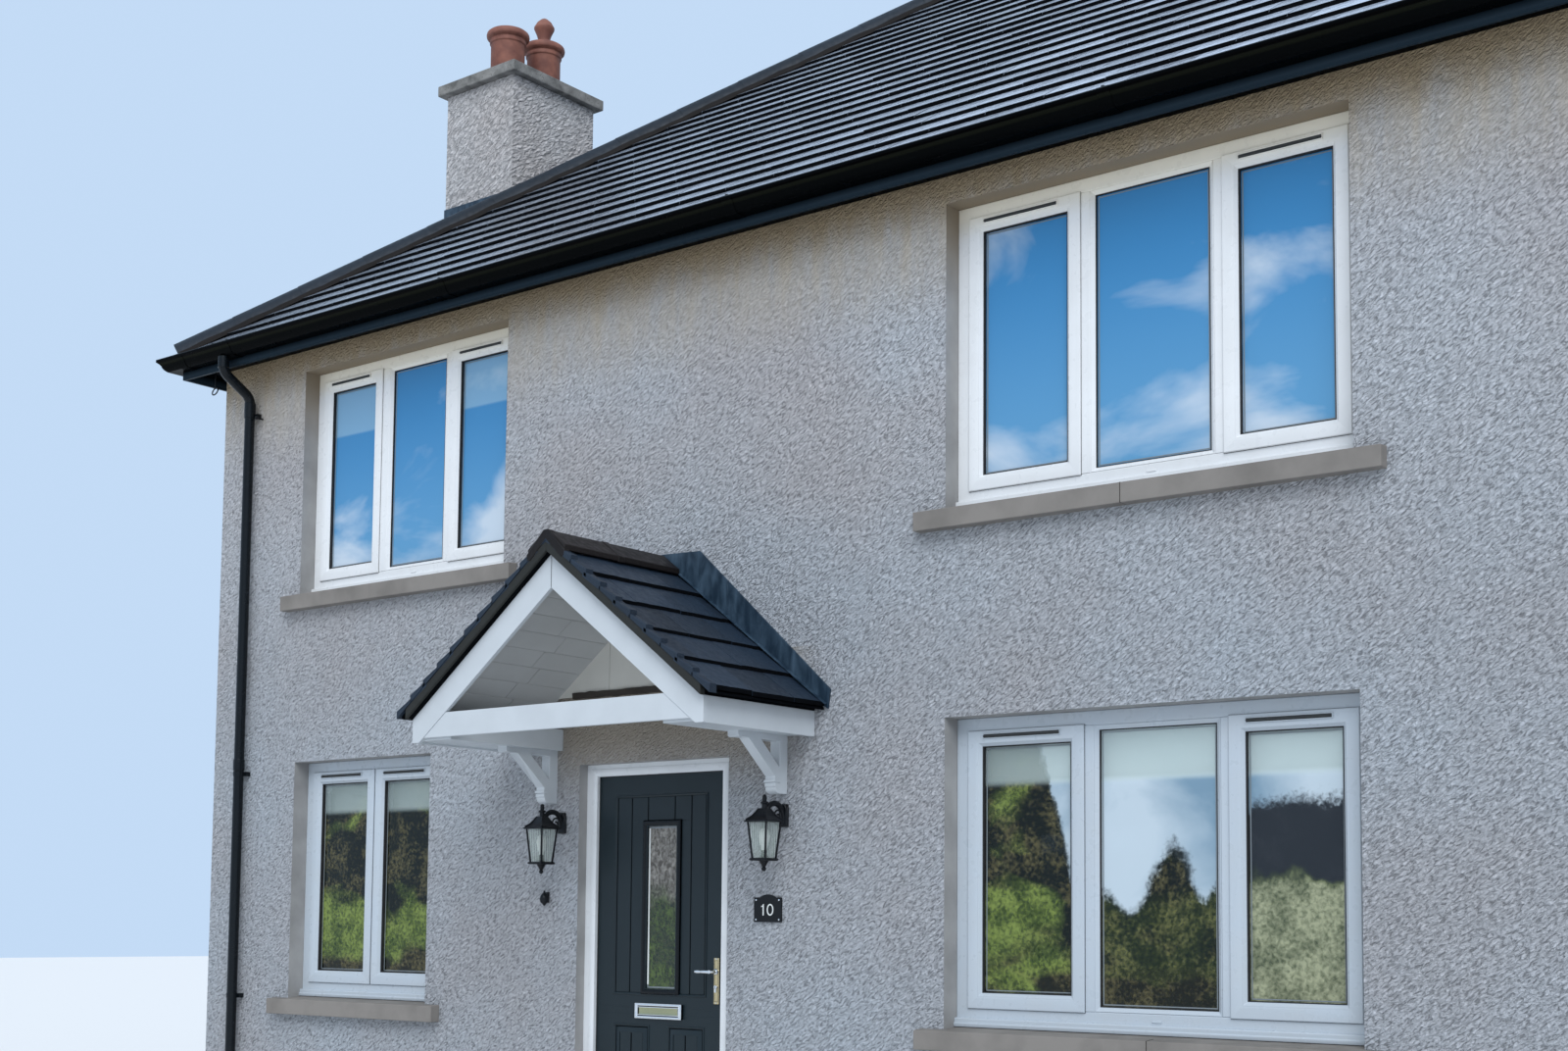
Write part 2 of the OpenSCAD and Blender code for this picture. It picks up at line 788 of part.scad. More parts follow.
module handle_lever() {
    reach = 55;
    near = leaf_y - reach;
    far = leaf_y + leaf_t + reach;
    arm = 95;
    r = 8;
    color("#c9cccf") union() {
        translate([lever_x, front_y + near - r, lever_z]) rotate([-90, 0, 0])
            cylinder(r = r, h = far - near + 2 * r);
        for (y = [near, far])
            translate([lever_x - arm, front_y + y, lever_z]) rotate([0, 90, 0])
                cylinder(r = r - 0.5, h = arm);
    }
}

// Canopy parts are drawn for the right slope about the canopy's middle
module canopy_right() translate([canopy_x, 0, 0]) children();

module canopy_left() translate([canopy_x, 0, 0]) mirror([1, 0, 0]) children();

canopy_course_n = 6;
canopy_eave = 1015;
module canopy_slope() {
    run = canopy_eave / canopy_course_n;
    tile_t = 28;
    top = courses(-canopy_eave, run, canopy_course_n, canopy_slate_z(canopy_eave), run * slope, 14);
    along_y(-verge_out, 0) mirror([1, 0])
        polygon(concat([[-canopy_half, barge_z(canopy_half)],
                        [-canopy_half, canopy_slate_z(canopy_half) - tile_t],
                        [-canopy_eave, canopy_slate_z(canopy_eave) - tile_t]], top, [[0, barge_apex]]));
}

module canopy_slates() color(slate_grey) union() {
    canopy_right() canopy_slope();
    canopy_left() canopy_slope();
}

module canopy_ridge() color(slate_grey) {
    reach = 112;
    low = canopy_slate_z(reach);
    wall_gap = 110;
    canopy_right() along_y(-verge_out, -wall_gap)
        polygon([[0, slate_apex], [reach, low], [reach + 6, low + 18], [10, slate_apex + 24],
                 [-10, slate_apex + 24], [-reach - 6, low + 18], [-reach, low]]);
}

// Lead over the slates along the wall, and up the wall behind them
module canopy_flashing() {
    lead = 5;
    reach = canopy_eave + 12;
    low = canopy_slate_z(reach);
    on_slates = 108;
    upstand_t = 8;
    upstand = 62;
    crown_half = 232;
    crown_rise = 31;
    module slope_lead() {
        along_y(-on_slates, 0)
            polygon([[0, slate_apex], [reach, low], [reach, low + lead], [0, slate_apex + lead]]);
        along_y(-upstand_t, 0)
            polygon([[0, slate_apex], [reach, low], [reach + upstand / 2, low + upstand],
                     [crown_half, slate_apex + crown_rise - lead - 3], [0, slate_apex + crown_rise]]);
    }
    color("#55616d") {
        canopy_right() slope_lead();
        canopy_left() slope_lead();
    }
}

// Barge boards with a butt joint at the apex
barge_t = 22;
barge_inner_apex = 3002;
barge_foot = 47;
barge_joint = 0.5;
// Half the gap between the barge boards' lower edges at a height
function barge_inner_x(z) = barge_joint
    + (barge_inner_apex - z) * (canopy_half - barge_foot - barge_joint) / (barge_inner_apex - beam_z);

module barge_boards() {
    module barge() along_y(-canopy_out, -canopy_out + barge_t)
        polygon([[barge_joint, barge_z(barge_joint) - slope_play],
                 [canopy_half, barge_z(canopy_half) - slope_play], [canopy_half, beam_z],
                 [canopy_half - barge_foot, beam_z], [barge_joint, barge_inner_apex]]);
    color(upvc_white) {
        canopy_right() barge();
        canopy_left() barge();
    }
}

// Boxed beams under the eaves of the canopy, from the barge boards to the wall, and the
// tie beam between the barge boards
module canopy_beams() {
    inner = 692;
    casing = 22;
    lip = 10;
    tie_top = 2460;
    tie_low = 2340;
    module beam() along_y(-canopy_out + barge_t, 0)
        polygon([[inner, beam_z + lip], [canopy_half - casing, beam_z + lip], [canopy_half - casing, beam_z],
                 [canopy_half, beam_z], [canopy_half, barge_z(canopy_half)], [inner, barge_z(canopy_half)]]);
    color(upvc_white) {
        canopy_right() beam();
        canopy_left() beam();
        canopy_right() along_y(-canopy_out + 3, -canopy_out + barge_t - 1)
            polygon([[-barge_inner_x(tie_top), tie_top], [-barge_inner_x(tie_low), tie_low],
                     [barge_inner_x(tie_low), tie_low], [barge_inner_x(tie_top), tie_top]]);
    }
}

// Boarded lining under both slopes, and the panel that closes the gable at the wall
module canopy_lining() {
    lining_apex = 3090;
    board = 14;
    panel_t = 12;
    panel_z = 2605;
    function lining_z(dx) = lining_apex - slope * dx;
    foot = (lining_apex - barge_z(canopy_half)) / slope;
    module lining() along_y(-canopy_out + barge_t, -panel_t - 1)
        polygon([[barge_joint, lining_z(barge_joint)], [foot, lining_z(foot)], [foot, lining_z(foot) + board],
                 [barge_joint, lining_z(barge_joint) + board]]);
    color(upvc_white) {
        canopy_right() lining();
        canopy_left() lining();
        canopy_right() along_y(-panel_t, 0)
            polygon([[0, lining_apex], [(lining_apex - panel_z) / slope, panel_z],
                     [-(lining_apex - panel_z) / slope, panel_z]]);
    }
}

// Gallows bracket: a post on the wall, an arm, a slanting brace and a tapered foot block
module bracket() {
    near = 730;
    post = 58;
    top = beam_z + 10;
    post_foot = 2054;
    arm = 365;
    arm_low = top - 29;
    foot_top = 2135;
    along_x(near, near + post) union() {
        translate([-post, post_foot]) square([post, top - post_foot]);
        translate([-arm, arm_low]) square([arm, top - arm_low]);
        polygon([[1 - post, post_foot], [-post - 12, post_foot], [-post - 36, foot_top - 24],
                 [-post - 36, foot_top], [1 - post, foot_top]]);
        polygon([[-arm + 75, arm_low + 2], [-post - 34, foot_top - 2], [2 - post, foot_top - 2],
                 [2 - post, foot_top + 40], [-post - 140, arm_low + 2]]);
    }
}

module canopy_brackets() color(upvc_white) {
    canopy_right() bracket();
    canopy_left() bracket();
}

// Wall lantern on a hooked arm: middles along X, then its axis in front of the wall
lantern_xs = [-1310, 148];
lantern_y = -150;
lantern_base_z = 1748;
lantern_eave_z = 1921;
// Outline that tapers from one width to another between two heights
module taper(z0, w0, z1, w1) polygon([[-w0 / 2, z0], [w0 / 2, z0], [w1 / 2, z1], [-w1 / 2, z1]]);

module across(angle) rotate([90, 0, angle]) linear_extrude(400, center = true) children();

// Square body that tapers between two heights
module tapered(z0, w0, z1, w1) intersection() {
    across(0) taper(z0, w0, z1, w1);
    across(90) taper(z0, w0, z1, w1);
}

module lantern() {
    base = 84;
    eave = 116;
    bar = 7;
    rim = 8;
    base_z = lantern_base_z;
    eave_z = lantern_eave_z;
    difference() {
        tapered(base_z - 1, base, eave_z + 1, eave);
        for (a = [0, 90]) across(a) taper(base_z + 2, base - 2 * bar, eave_z - 4, eave - 2 * bar);
    }
    tapered(base_z - 10, base + rim, base_z + 2, base + rim);
    tapered(eave_z - 4, eave + 2 * rim, eave_z + 4, eave + 2 * rim);
    tapered(eave_z + 3, eave + rim, eave_z + 24, 78);
    tapered(eave_z + 23, 78, eave_z + 60, 36);
    // Turned knobs under the base and on the roof
    rotate_extrude() polygon([[0, base_z - 58], [6, base_z - 58], [11, base_z - 51], [11, base_z - 44],
                              [7, base_z - 39], [9, base_z - 36], [24, base_z - 10], [24, base_z - 6],
                              [0, base_z - 6]]);
    rotate_extrude() polygon([[0, eave_z + 54], [13, eave_z + 54], [13, eave_z + 80], [19, eave_z + 83],
                              [19, eave_z + 88], [10, eave_z + 94], [11, eave_z + 108], [6, eave_z + 116],
                              [0, eave_z + 116]]);
    // Arm that loops over from the wall plate to the lantern's roof
    arm_r = 8;
    arm_z = eave_z + 18;
    translate([0, -lantern_y / 2, arm_z]) rotate([90, 0, 90])
        rotate_extrude(angle = 180) translate([-lantern_y / 2 - arm_r, 0]) circle(arm_r);
    plate = [48, 14, 76];
    translate([-plate[0] / 2, -lantern_y - plate[1], arm_z - 11]) cube(plate);
}

module wall_lanterns() color("#17191b")
    for (x = lantern_xs) translate([x, front_y + lantern_y, 0]) lantern();

module lantern_glass() color("#dfe6e6", 0.5)
    for (x = lantern_xs) translate([x, front_y + lantern_y, 0])
        tapered(lantern_base_z + 2, 68, lantern_eave_z - 4, 100);

// Number plate with a low arch in the middle of its top
module number_plate() color("#24272b") {
    w = 164;
    h = 116;
    arch_w = 92;
    arch_rise = 14;
    arch_r = (arch_w * arch_w / 4 + arch_rise * arch_rise) / (2 * arch_rise);
    foot_mid = [58, 1455];
    along_y(-9, 0) translate(foot_mid) union() {
        translate([-w / 2, 0]) square([w, h]);
        intersection() {
            translate([0, h + arch_rise - arch_r]) circle(arch_r, $fn = 96);
            translate([-arch_w / 2, h - 4]) square([arch_w, 40]);
        }
    }
}

front_wall_left();
front_wall_right();
front_wall_over_door();
left_wall();
right_wall();
rear_wall();
ground_floor();
first_floor();
roof_front();
roof_rear();
roof_hip_ends();
hip_and_ridge_tiles();
eaves_boards();
long_gutters();
side_gutters();
downpipes();
chimney_stack();
chimney_cap();
chimney_flashing();
chimney_pots();
upper_windows();
lower_windows();
rear_windows();
side_windows();
window_glass();
window_sills();
door_frame();
door_threshold();
door_leaf();
letter_rail();
door_glass();
letter_plate();
letter_flap();
handle_plates();
handle_lever();
canopy_slates();
canopy_ridge();
canopy_flashing();
barge_boards();
canopy_beams();
canopy_lining();
canopy_brackets();
wall_lanterns();
lantern_glass();
number_plate();
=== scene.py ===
"""Looks of the detached house: finishes, slates, hip and ridge tiles, rainwater goods, windows,
front door, canopy, chimney, lanterns and number plate. All lengths are metres."""
import math
import random

import bmesh
import bpy
from mathutils import Matrix, Vector


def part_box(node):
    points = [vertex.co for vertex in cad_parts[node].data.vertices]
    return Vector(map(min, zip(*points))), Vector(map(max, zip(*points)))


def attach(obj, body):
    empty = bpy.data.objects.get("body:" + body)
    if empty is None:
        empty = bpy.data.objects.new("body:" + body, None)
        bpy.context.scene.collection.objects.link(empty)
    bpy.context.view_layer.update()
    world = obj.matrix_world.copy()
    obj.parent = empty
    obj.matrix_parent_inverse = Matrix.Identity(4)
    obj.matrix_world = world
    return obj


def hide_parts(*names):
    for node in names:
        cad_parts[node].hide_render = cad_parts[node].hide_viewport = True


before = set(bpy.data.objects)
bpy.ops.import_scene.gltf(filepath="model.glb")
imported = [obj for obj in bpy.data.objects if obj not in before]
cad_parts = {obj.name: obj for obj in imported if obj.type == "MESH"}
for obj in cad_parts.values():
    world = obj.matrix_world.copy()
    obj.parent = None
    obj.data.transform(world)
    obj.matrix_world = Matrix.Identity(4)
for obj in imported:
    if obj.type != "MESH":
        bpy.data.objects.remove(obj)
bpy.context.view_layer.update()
random.seed(7)

# Places taken from the frame
front_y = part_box("front_wall_over_door")[0].y
rear_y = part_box("rear_wall")[1].y
mid_y = (front_y + rear_y) / 2
half_depth = (rear_y - front_y) / 2
half_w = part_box("right_wall")[1].x
roof_low, roof_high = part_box("roof_front")

# Main roof: slopes and courses, as in the part's source
PITCH = math.radians(37.5)
COURSES = 25
COURSE_STEP = 0.013
slope = math.tan(PITCH)
half_front = roof_high.x
half_side = roof_high.y - roof_low.y
course_run = half_side / COURSES
ridge_z = roof_high.z + COURSE_STEP
slate_eave_z = ridge_z - slope * half_side

# Depths behind a wall's face, and the canopy's middle along the front
RECESS = 0.100
SASH_FACE = 0.090
GLASS_FRONT = 0.124
CANOPY_MID = -0.625


def turned(angle, distance):
    """Local X along a side of the house, Y into it from a line at a distance from its middle, Z up."""
    turn = Matrix.Rotation(angle, 4, "Z")
    return Matrix.Translation((0, mid_y, 0)) @ turn @ Matrix.Translation((0, -distance, 0))


FRONT, RIGHT, REAR, LEFT = (math.radians(a) for a in (0, 90, 180, 270))
WALLS = {
    "front": turned(FRONT, half_depth),
    "right": turned(RIGHT, half_w),
    "rear": turned(REAR, half_depth),
    "left": turned(LEFT, half_w),
}


def arc(radius, start, end, steps, centre=(0, 0)):
    """Points on an arc, with angles in degrees."""
    return [
        (centre[0] + radius * math.cos(a), centre[1] + radius * math.sin(a))
        for a in (math.radians(start + (end - start) * i / steps) for i in range(steps + 1))
    ]


def turns(sides):
    """Angles evenly round a full turn."""
    return [2 * math.pi * k / sides for k in range(sides)]


def circle(radius, sides, centre=(0, 0), height=None):
    """Points round a circle, or round an oval of another half height."""
    height = height or radius
    return [(centre[0] + radius * math.cos(a), centre[1] + height * math.sin(a)) for a in turns(sides)]


def about(x, z, half_x, half_z):
    """A rectangle (x0, x1, z0, z1) about its middle."""
    return (x - half_x, x + half_x, z - half_z, z + half_z)


def grown(rect, by):
    """A rectangle that is larger by as much on every side."""
    return (rect[0] - by, rect[1] + by, rect[2] - by, rect[3] + by)


class Shape:
    """Faces gathered for one piece."""

    def __init__(self, place=None):
        self.place = place or Matrix.Identity(4)
        self.verts, self.faces, self.tones = [], [], []
        self.tone = 0.5

    def add(self, verts, faces):
        first = len(self.verts)
        self.verts += [self.place @ Vector(v) for v in verts]
        self.faces += [[first + i for i in f] for f in faces]
        self.tones += [self.tone] * len(faces)

    def loft(self, rings, closed=False):
        """Joins rings of as many points each. A closed loft joins its last ring to its first."""
        n, count = len(rings[0]), len(rings)
        faces = [
            [a * n + i, a * n + (i + 1) % n, (a + 1) % count * n + (i + 1) % n, (a + 1) % count * n + i]
            for a in range(count if closed else count - 1)
            for i in range(n)
        ]
        if not closed:
            faces += [list(range(n))[::-1], [(count - 1) * n + i for i in range(n)]]
        self.add([p for ring in rings for p in ring], faces)

    def box(self, low, high):
        (x0, y0, z0), (x1, y1, z1) = low, high
        self.loft([[(x, y, z) for x, y in ((x0, y0), (x1, y0), (x1, y1), (x0, y1))] for z in (z0, z1)])

    def bar(self, outline, x0, x1):
        """Extrudes an outline of depth and height along X."""
        self.loft([[(x, y, z) for y, z in outline] for x in (x0, x1)])

    def plate(self, outline, y0, y1):
        """Extrudes an outline of X and height through the depth."""
        self.loft([[(x, y, z) for x, z in outline] for y in (y0, y1)])

    def frame(self, rect, profile, inner=None):
        """Mitred frame round a rectangle (x0, x1, z0, z1). The profile lists inset and depth.
        With an inner rectangle, negative insets are measured outwards from that one."""
        edges = [(rect if inset >= 0 else inner or rect, inset, depth) for inset, depth in profile]
        corners = ((0, 2, 1, 1), (1, 2, -1, 1), (1, 3, -1, -1), (0, 3, 1, -1))
        self.loft([[(edge[i] + sx * inset, depth, edge[k] + sz * inset) for edge, inset, depth in edges]
                   for i, k, sx, sz in corners], closed=True)

    def band(self, rect, inset0, inset1, face, back):
        """A flat band inside a rectangle, between two insets and two depths."""
        self.frame(rect, [(inset0, back), (inset0, face), (inset1, face), (inset1, back)])

    def tube(self, path, radius, sides=12):
        """Sweeps a ring along a path of points. A radius may be a list, one for each point."""
        path = [Vector(p) for p in path]
        radii = radius if isinstance(radius, (list, tuple)) else [radius] * len(path)
        side = None
        rings = []
        for i, p in enumerate(path):
            ahead = (path[min(i + 1, len(path) - 1)] - path[max(i - 1, 0)]).normalized()
            if side is None:
                side = ahead.orthogonal().normalized()
            side = (side - ahead * side.dot(ahead)).normalized()
            other = ahead.cross(side)
            rings.append([p + radii[i] * (math.cos(a) * side + math.sin(a) * other) for a in turns(sides)])
        self.loft(rings)

    def lathe(self, profile, centre, sides=32):
        """Turns a closed profile of radius and height about an upright axis."""
        x, y = centre
        self.loft([[(x + r * math.cos(a), y + r * math.sin(a), z) for r, z in profile]
                   for a in turns(sides)], closed=True)

    def button(self, profile, centre, sides):
        """Turns a profile of radius and depth about an axis that points into the wall."""
        self.loft([[(x, depth, z) for x, z in circle(radius, sides, centre)] for radius, depth in profile])


def front_shapes(count):
    """Empty shapes placed on the front wall."""
    return [Shape(WALLS["front"]) for _ in range(count)]


def soften(obj, bevel):
    """Small rounded edges."""
    mod = obj.modifiers.new("edges", "BEVEL")
    mod.width, mod.segments, mod.limit_method = bevel, 2, "ANGLE"
    mod.angle_limit = math.radians(35)


def piece(name, shape, finish, body="house", bevel=0, smooth=35, replaces=(), edge=None):
    """Makes a shape an object. Its faces of tone 0 take the edge finish, where there is one; the slates pass
    a black there as painted shade on their butts.
    """
    mesh = bpy.data.meshes.new(name)
    mesh.from_pydata(shape.verts, [], shape.faces)
    bm = bmesh.new()
    bm.from_mesh(mesh)
    bmesh.ops.recalc_face_normals(bm, faces=bm.faces)
    bm.to_mesh(mesh)
    bm.free()
    tone = mesh.attributes.new("tone", "FLOAT", "FACE")
    tone.data.foreach_set("value", shape.tones)
    mesh.shade_smooth()
    mesh.set_sharp_from_angle(angle=math.radians(smooth))
    obj = bpy.data.objects.new(name, mesh)
    bpy.context.scene.collection.objects.link(obj)
    mesh.materials.append(finish)
    if edge:
        mesh.materials.append(edge)
        for face, shade in zip(mesh.polygons, shape.tones):
            face.material_index = 0 if shade else 1
    if bevel:
        soften(obj, bevel)
    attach(obj, body)
    if replaces:
        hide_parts(*replaces)
    return obj


def islands(node):
    """The joined parts of a CAD node, each as its lowest and highest corner."""
    bm = bmesh.new()
    bm.from_mesh(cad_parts[node].data)
    bmesh.ops.remove_doubles(bm, verts=bm.verts, dist=1e-5)
    boxes, seen = [], set()
    for start in bm.verts:
        if start in seen:
            continue
        group, queue = [], [start]
        seen.add(start)
        while queue:
            vert = queue.pop()
            group.append(vert.co.copy())
            for edge in vert.link_edges:
                other = edge.other_vert(vert)
                if other not in seen:
                    seen.add(other)
                    queue.append(other)
        boxes.append((Vector(map(min, *group)), Vector(map(max, *group))))
    bm.free()
    return boxes


def in_wall(box, wall):
    """A box of the frame as the wall sees it: x along the wall, y into it."""
    corners = [WALLS[wall].inverted() @ p for p in box]
    return Vector(map(min, *corners)), Vector(map(max, *corners))


# Finishes

class Nodes:
    """A node tree, with short calls for making its nodes."""

    def __init__(self, tree):
        self.tree = tree

    def feed(self, socket, value):
        if isinstance(value, bpy.types.NodeSocket):
            self.tree.links.new(value, socket)
        else:
            socket.default_value = value

    def node(self, kind, inputs=(), **settings):
        made = self.tree.nodes.new("ShaderNode" + kind)
        for key, value in settings.items():
            setattr(made, key, value)
        for key, value in dict(inputs).items():
            self.feed(made.inputs[key], value)
        return made

    def maths(self, operation, a, b=0.0):
        return self.node("Math", {0: a, 1: b}, operation=operation).outputs[0]


class Finish(Nodes):
    """A material, with short calls for what the finishes share."""

    def __init__(self, name, colour, roughness, **inputs):
        self.material = bpy.data.materials.new(name)
        self.material.use_nodes = True
        super().__init__(self.material.node_tree)
        self.shader = self.tree.nodes["Principled BSDF"]
        self.set("Base Color", (*colour, 1))
        self.set("Roughness", roughness)
        for key, value in inputs.items():
            self.set(key.replace("_", " "), value)

    def set(self, name, value):
        self.feed(self.shader.inputs[name], value)

    def place(self):
        """Object coordinates, one by one."""
        return self.node("SeparateXYZ", {0: self.node("TexCoord").outputs["Object"]}).outputs

    def spot(self, stretch=(1, 1, 1)):
        """Object coordinates, on which a pattern's features come out stretched."""
        at = self.node("TexCoord").outputs["Object"]
        return self.node("Mapping", {"Vector": at, "Scale": stretch}, vector_type="TEXTURE").outputs[0]

    def wall_spot(self, stretch=(1, 1, 1), lean=0):
        """Coordinates along and up any wall, with features stretched along a line that leans up."""
        x, y, z = self.place()
        at = self.node("CombineXYZ", {0: self.plus(x, y), 2: z}).outputs[0]
        inputs = {"Vector": at, "Scale": stretch, "Rotation": (0, -math.radians(lean), 0)}
        return self.node("Mapping", inputs, vector_type="TEXTURE").outputs[0]

    def noise(self, scale, detail=3, distortion=0, at=None):
        inputs = {"Vector": at or self.spot(), "Scale": scale, "Detail": detail, "Distortion": distortion}
        return self.node("TexNoise", inputs).outputs[0]

    def ramp(self, fac, *stops):
        made = self.node("ValToRGB", {0: fac})
        elements = made.color_ramp.elements
        while len(elements) < len(stops):
            elements.new(0.5)
        for element, (position, value) in zip(elements, stops):
            element.position = position
            element.color = (*value, 1) if isinstance(value, tuple) else (value, value, value, 1)
        return made.outputs[0]

    def mix(self, fac, a, b, blend="MIX"):
        made = self.node("Mix", {0: fac}, data_type="RGBA", blend_type=blend)
        for index, value in ((6, a), (7, b)):
            self.feed(made.inputs[index], (*value, 1) if isinstance(value, tuple) else value)
        return made.outputs[2]

    def between(self, value, low, high, a, b):
        """Colour a where the value is low, b where it is high."""
        return self.mix(self.ramp(value, (low, 0.0), (high, 1.0)), a, b)

    def span(self, value, low, high):
        """0 below low, 1 above high, smooth between."""
        inputs = {"Value": value, "From Min": low, "From Max": high}
        return self.node("MapRange", inputs, interpolation_type="SMOOTHSTEP").outputs[0]

    def plus(self, a, b):
        return self.maths("ADD", a, b)

    def minus(self, a, b):
        return self.maths("SUBTRACT", a, b)

    def times(self, value, *others):
        for other in others:
            value = self.maths("MULTIPLY", value, other)
        return value

    def gloss(self, scale, low, high):
        """Roughness that wanders between two values."""
        self.set("Roughness", self.ramp(self.noise(scale, 4), (0.3, low), (0.7, high)))

    def bump(self, height, distance, strength=1.0):
        inputs = {"Height": height, "Distance": distance, "Strength": strength}
        self.set("Normal", self.node("Bump", inputs).outputs[0])


def scaled(colour, *factors):
    """A colour times one factor, or times one for each channel."""
    return tuple(c * f for c, f in zip(colour, factors * (3 // len(factors))))


def roughcast(name, colour, stains_and_shade=False, fineness=104, relief_depth=0.012, pit_shade=0.44):
    """Small stones thrown on wet render and painted: leaning ridges and hollows, with painted shade in the
    hollows and painted highlights on the ridges.
    """
    finish = Finish(name, colour, 0.85)
    lumps = finish.noise(fineness, 3, 0.7, finish.wall_spot((2.6, 1, 1), 36))
    ridges = finish.ramp(lumps, (0.32, 0.0), (0.50, 0.5), (0.70, 1.0))
    waves = finish.noise(fineness * 0.24, 2, 0.4, finish.wall_spot((1.8, 1, 1), 36))
    dark, pale = scaled(colour, 0.97, 0.93, 0.92), scaled(colour, 1.02, 1.05, 1.08)
    base = finish.between(finish.noise(1.1, 4), 0.35, 0.68, dark, pale)
    # Colour darker in the hollows and paler on the ridges: painted shade and painted highlights.
    base = finish.mix(1.0, base, finish.ramp(ridges, (0.0, pit_shade), (0.42, 1.0), (1.0, 1.28)), "MULTIPLY")
    finish.set("Base Color", wall_stains_and_painted_shade(finish, base) if stains_and_shade else base)
    finish.bump(finish.plus(ridges, finish.times(waves, 0.8)), relief_depth)
    return finish.material


def wall_stains_and_painted_shade(finish, base):
    """House walls are greyer lower down, browner under the canopy as painted warm shade, and brown in streaks
    under the eaves, partly stain and partly painted warm shade.
    """
    x, y, high = finish.place()
    grey = finish.mix(finish.span(high, 2.4, 4.1), (0.87, 0.90, 0.92), (1, 1, 1))
    base = finish.mix(1.0, base, grey, "MULTIPLY")
    aside = finish.maths("ABSOLUTE", finish.minus(x, CANOPY_MID))
    painted_canopy_shade = finish.times(
        finish.span(high, 2.0, 2.42), finish.maths("LESS_THAN", high, 2.75),
        finish.minus(1.0, finish.span(aside, 0.62, 1.02)), finish.maths("LESS_THAN", y, mid_y))
    # Painted warm shade on the wall under the canopy.
    base = finish.mix(painted_canopy_shade, base, (0.34, 0.295, 0.24))
    # Brown streaks under the eaves: partly stain and partly painted warm shade.
    streaks = finish.ramp(finish.noise(3, 5, 0.4, finish.spot((0.25, 0.25, 1.7))), (0.25, 0.3), (0.7, 1.0))
    eaves_stain_and_shade = finish.times(finish.span(high, 4.10, 4.66), streaks)
    base = finish.mix(eaves_stain_and_shade, base, (0.56, 0.495, 0.41))
    # Darkest brown close under the eaves: partly stain and partly painted shade.
    edge = finish.plus(high, finish.times(streaks, 0.09))
    return finish.mix(finish.span(edge, 4.60, 4.86), base, (0.40, 0.30, 0.18))


def painted_stone(name, colour, browner_up=False):
    """Smooth painted reveals and sills, with faint dirt and fine sand."""
    finish = Finish(name, colour, 0.8, Specular_IOR_Level=0.2)
    base = finish.between(finish.noise(5, 5), 0.3, 0.62, scaled(colour, 0.74), colour)
    # Browner towards the top: partly stain and partly painted warm shade under the eaves.
    if browner_up:
        base = finish.mix(finish.span(finish.place()[2], 4.2, 4.72), base, (0.27, 0.215, 0.15))
    finish.set("Base Color", base)
    finish.bump(finish.noise(420, 2), 0.0008, 0.6)
    return finish.material


def slate_finish(name, colour, shine, gloss, sheen=False, **inputs):
    """Riven grey slates, each with its own tone. A painted sheen makes them paler where they are seen at a
    low angle, most at the right."""
    finish = Finish(name, colour, shine, Specular_IOR_Level=gloss, **inputs)
    tone = finish.node("Attribute", attribute_name="tone").outputs["Fac"]
    shade = finish.plus(tone, finish.times(finish.noise(9, 6), 0.5))
    base = finish.between(shade, 0.3, 1.0, scaled(colour, 0.55), scaled(colour, 1.5))
    if sheen:
        # Painted sheen: paler at a low angle and towards the right end.
        along = finish.maths("DIVIDE", finish.plus(finish.place()[0], half_front), 2 * half_front)
        glance = finish.span(finish.node("LayerWeight").outputs["Facing"], 0.62, 0.86)
        sheen_ramp = finish.ramp(finish.times(along, glance), (0.0, 0.25), (0.5, 0.52), (1.0, 1.0))
        base = finish.mix(1.0, base, sheen_ramp, "MULTIPLY")
    finish.set("Base Color", base)
    finish.gloss(30, shine - 0.08, shine + 0.14)
    finish.bump(finish.noise(60, 5, 0.3), 0.0018, 0.8)
    return finish.material


def plain(name, colour, roughness, grain=0.0, grain_scale=200, **inputs):
    """Moulded plastic, paint or metal: slight unevenness in colour, gloss and surface."""
    finish = Finish(name, colour, roughness, **inputs)
    finish.set("Base Color", finish.between(finish.noise(5, 4), 0.35, 0.6, scaled(colour, 0.94), colour))
    finish.gloss(23, roughness * 0.85, roughness * 1.2)
    if grain:
        finish.bump(finish.noise(grain_scale, 3), grain)
    return finish.material


def window_plastic():
    """White window plastic with painted light: yellower as warm light close under the eaves, and greyer as
    shade downstairs.
    """
    white = (0.78, 0.79, 0.80)
    finish = Finish("window_plastic", white, 0.3)
    high = finish.place()[2]
    # Painted shade downstairs, greyer and bluer; painted warm light under the eaves, yellower.
    base = finish.mix(finish.span(high, 2.4, 3.6), (0.47, 0.525, 0.58), white)
    base = finish.mix(finish.span(high, 4.52, 4.67), base, (0.84, 0.78, 0.65))
    dust = finish.ramp(finish.noise(6, 4), (0.3, 0.12), (0.6, 0.0))
    finish.set("Base Color", finish.mix(dust, base, (0.5, 0.48, 0.44)))
    finish.gloss(23, 0.25, 0.36)
    return finish.material


def painted_light_bands(name, low, high, *stops):
    """Dark plastic with painted highlights, reflections and shade as bands of colour between two heights."""
    finish = Finish(name, stops[0][1], 0.3, Specular_IOR_Level=0.02)
    up = finish.maths("DIVIDE", finish.minus(finish.place()[2], low), high - low)
    finish.set("Base Color", finish.ramp(up, *stops))
    finish.gloss(17, 0.24, 0.38)
    return finish.material


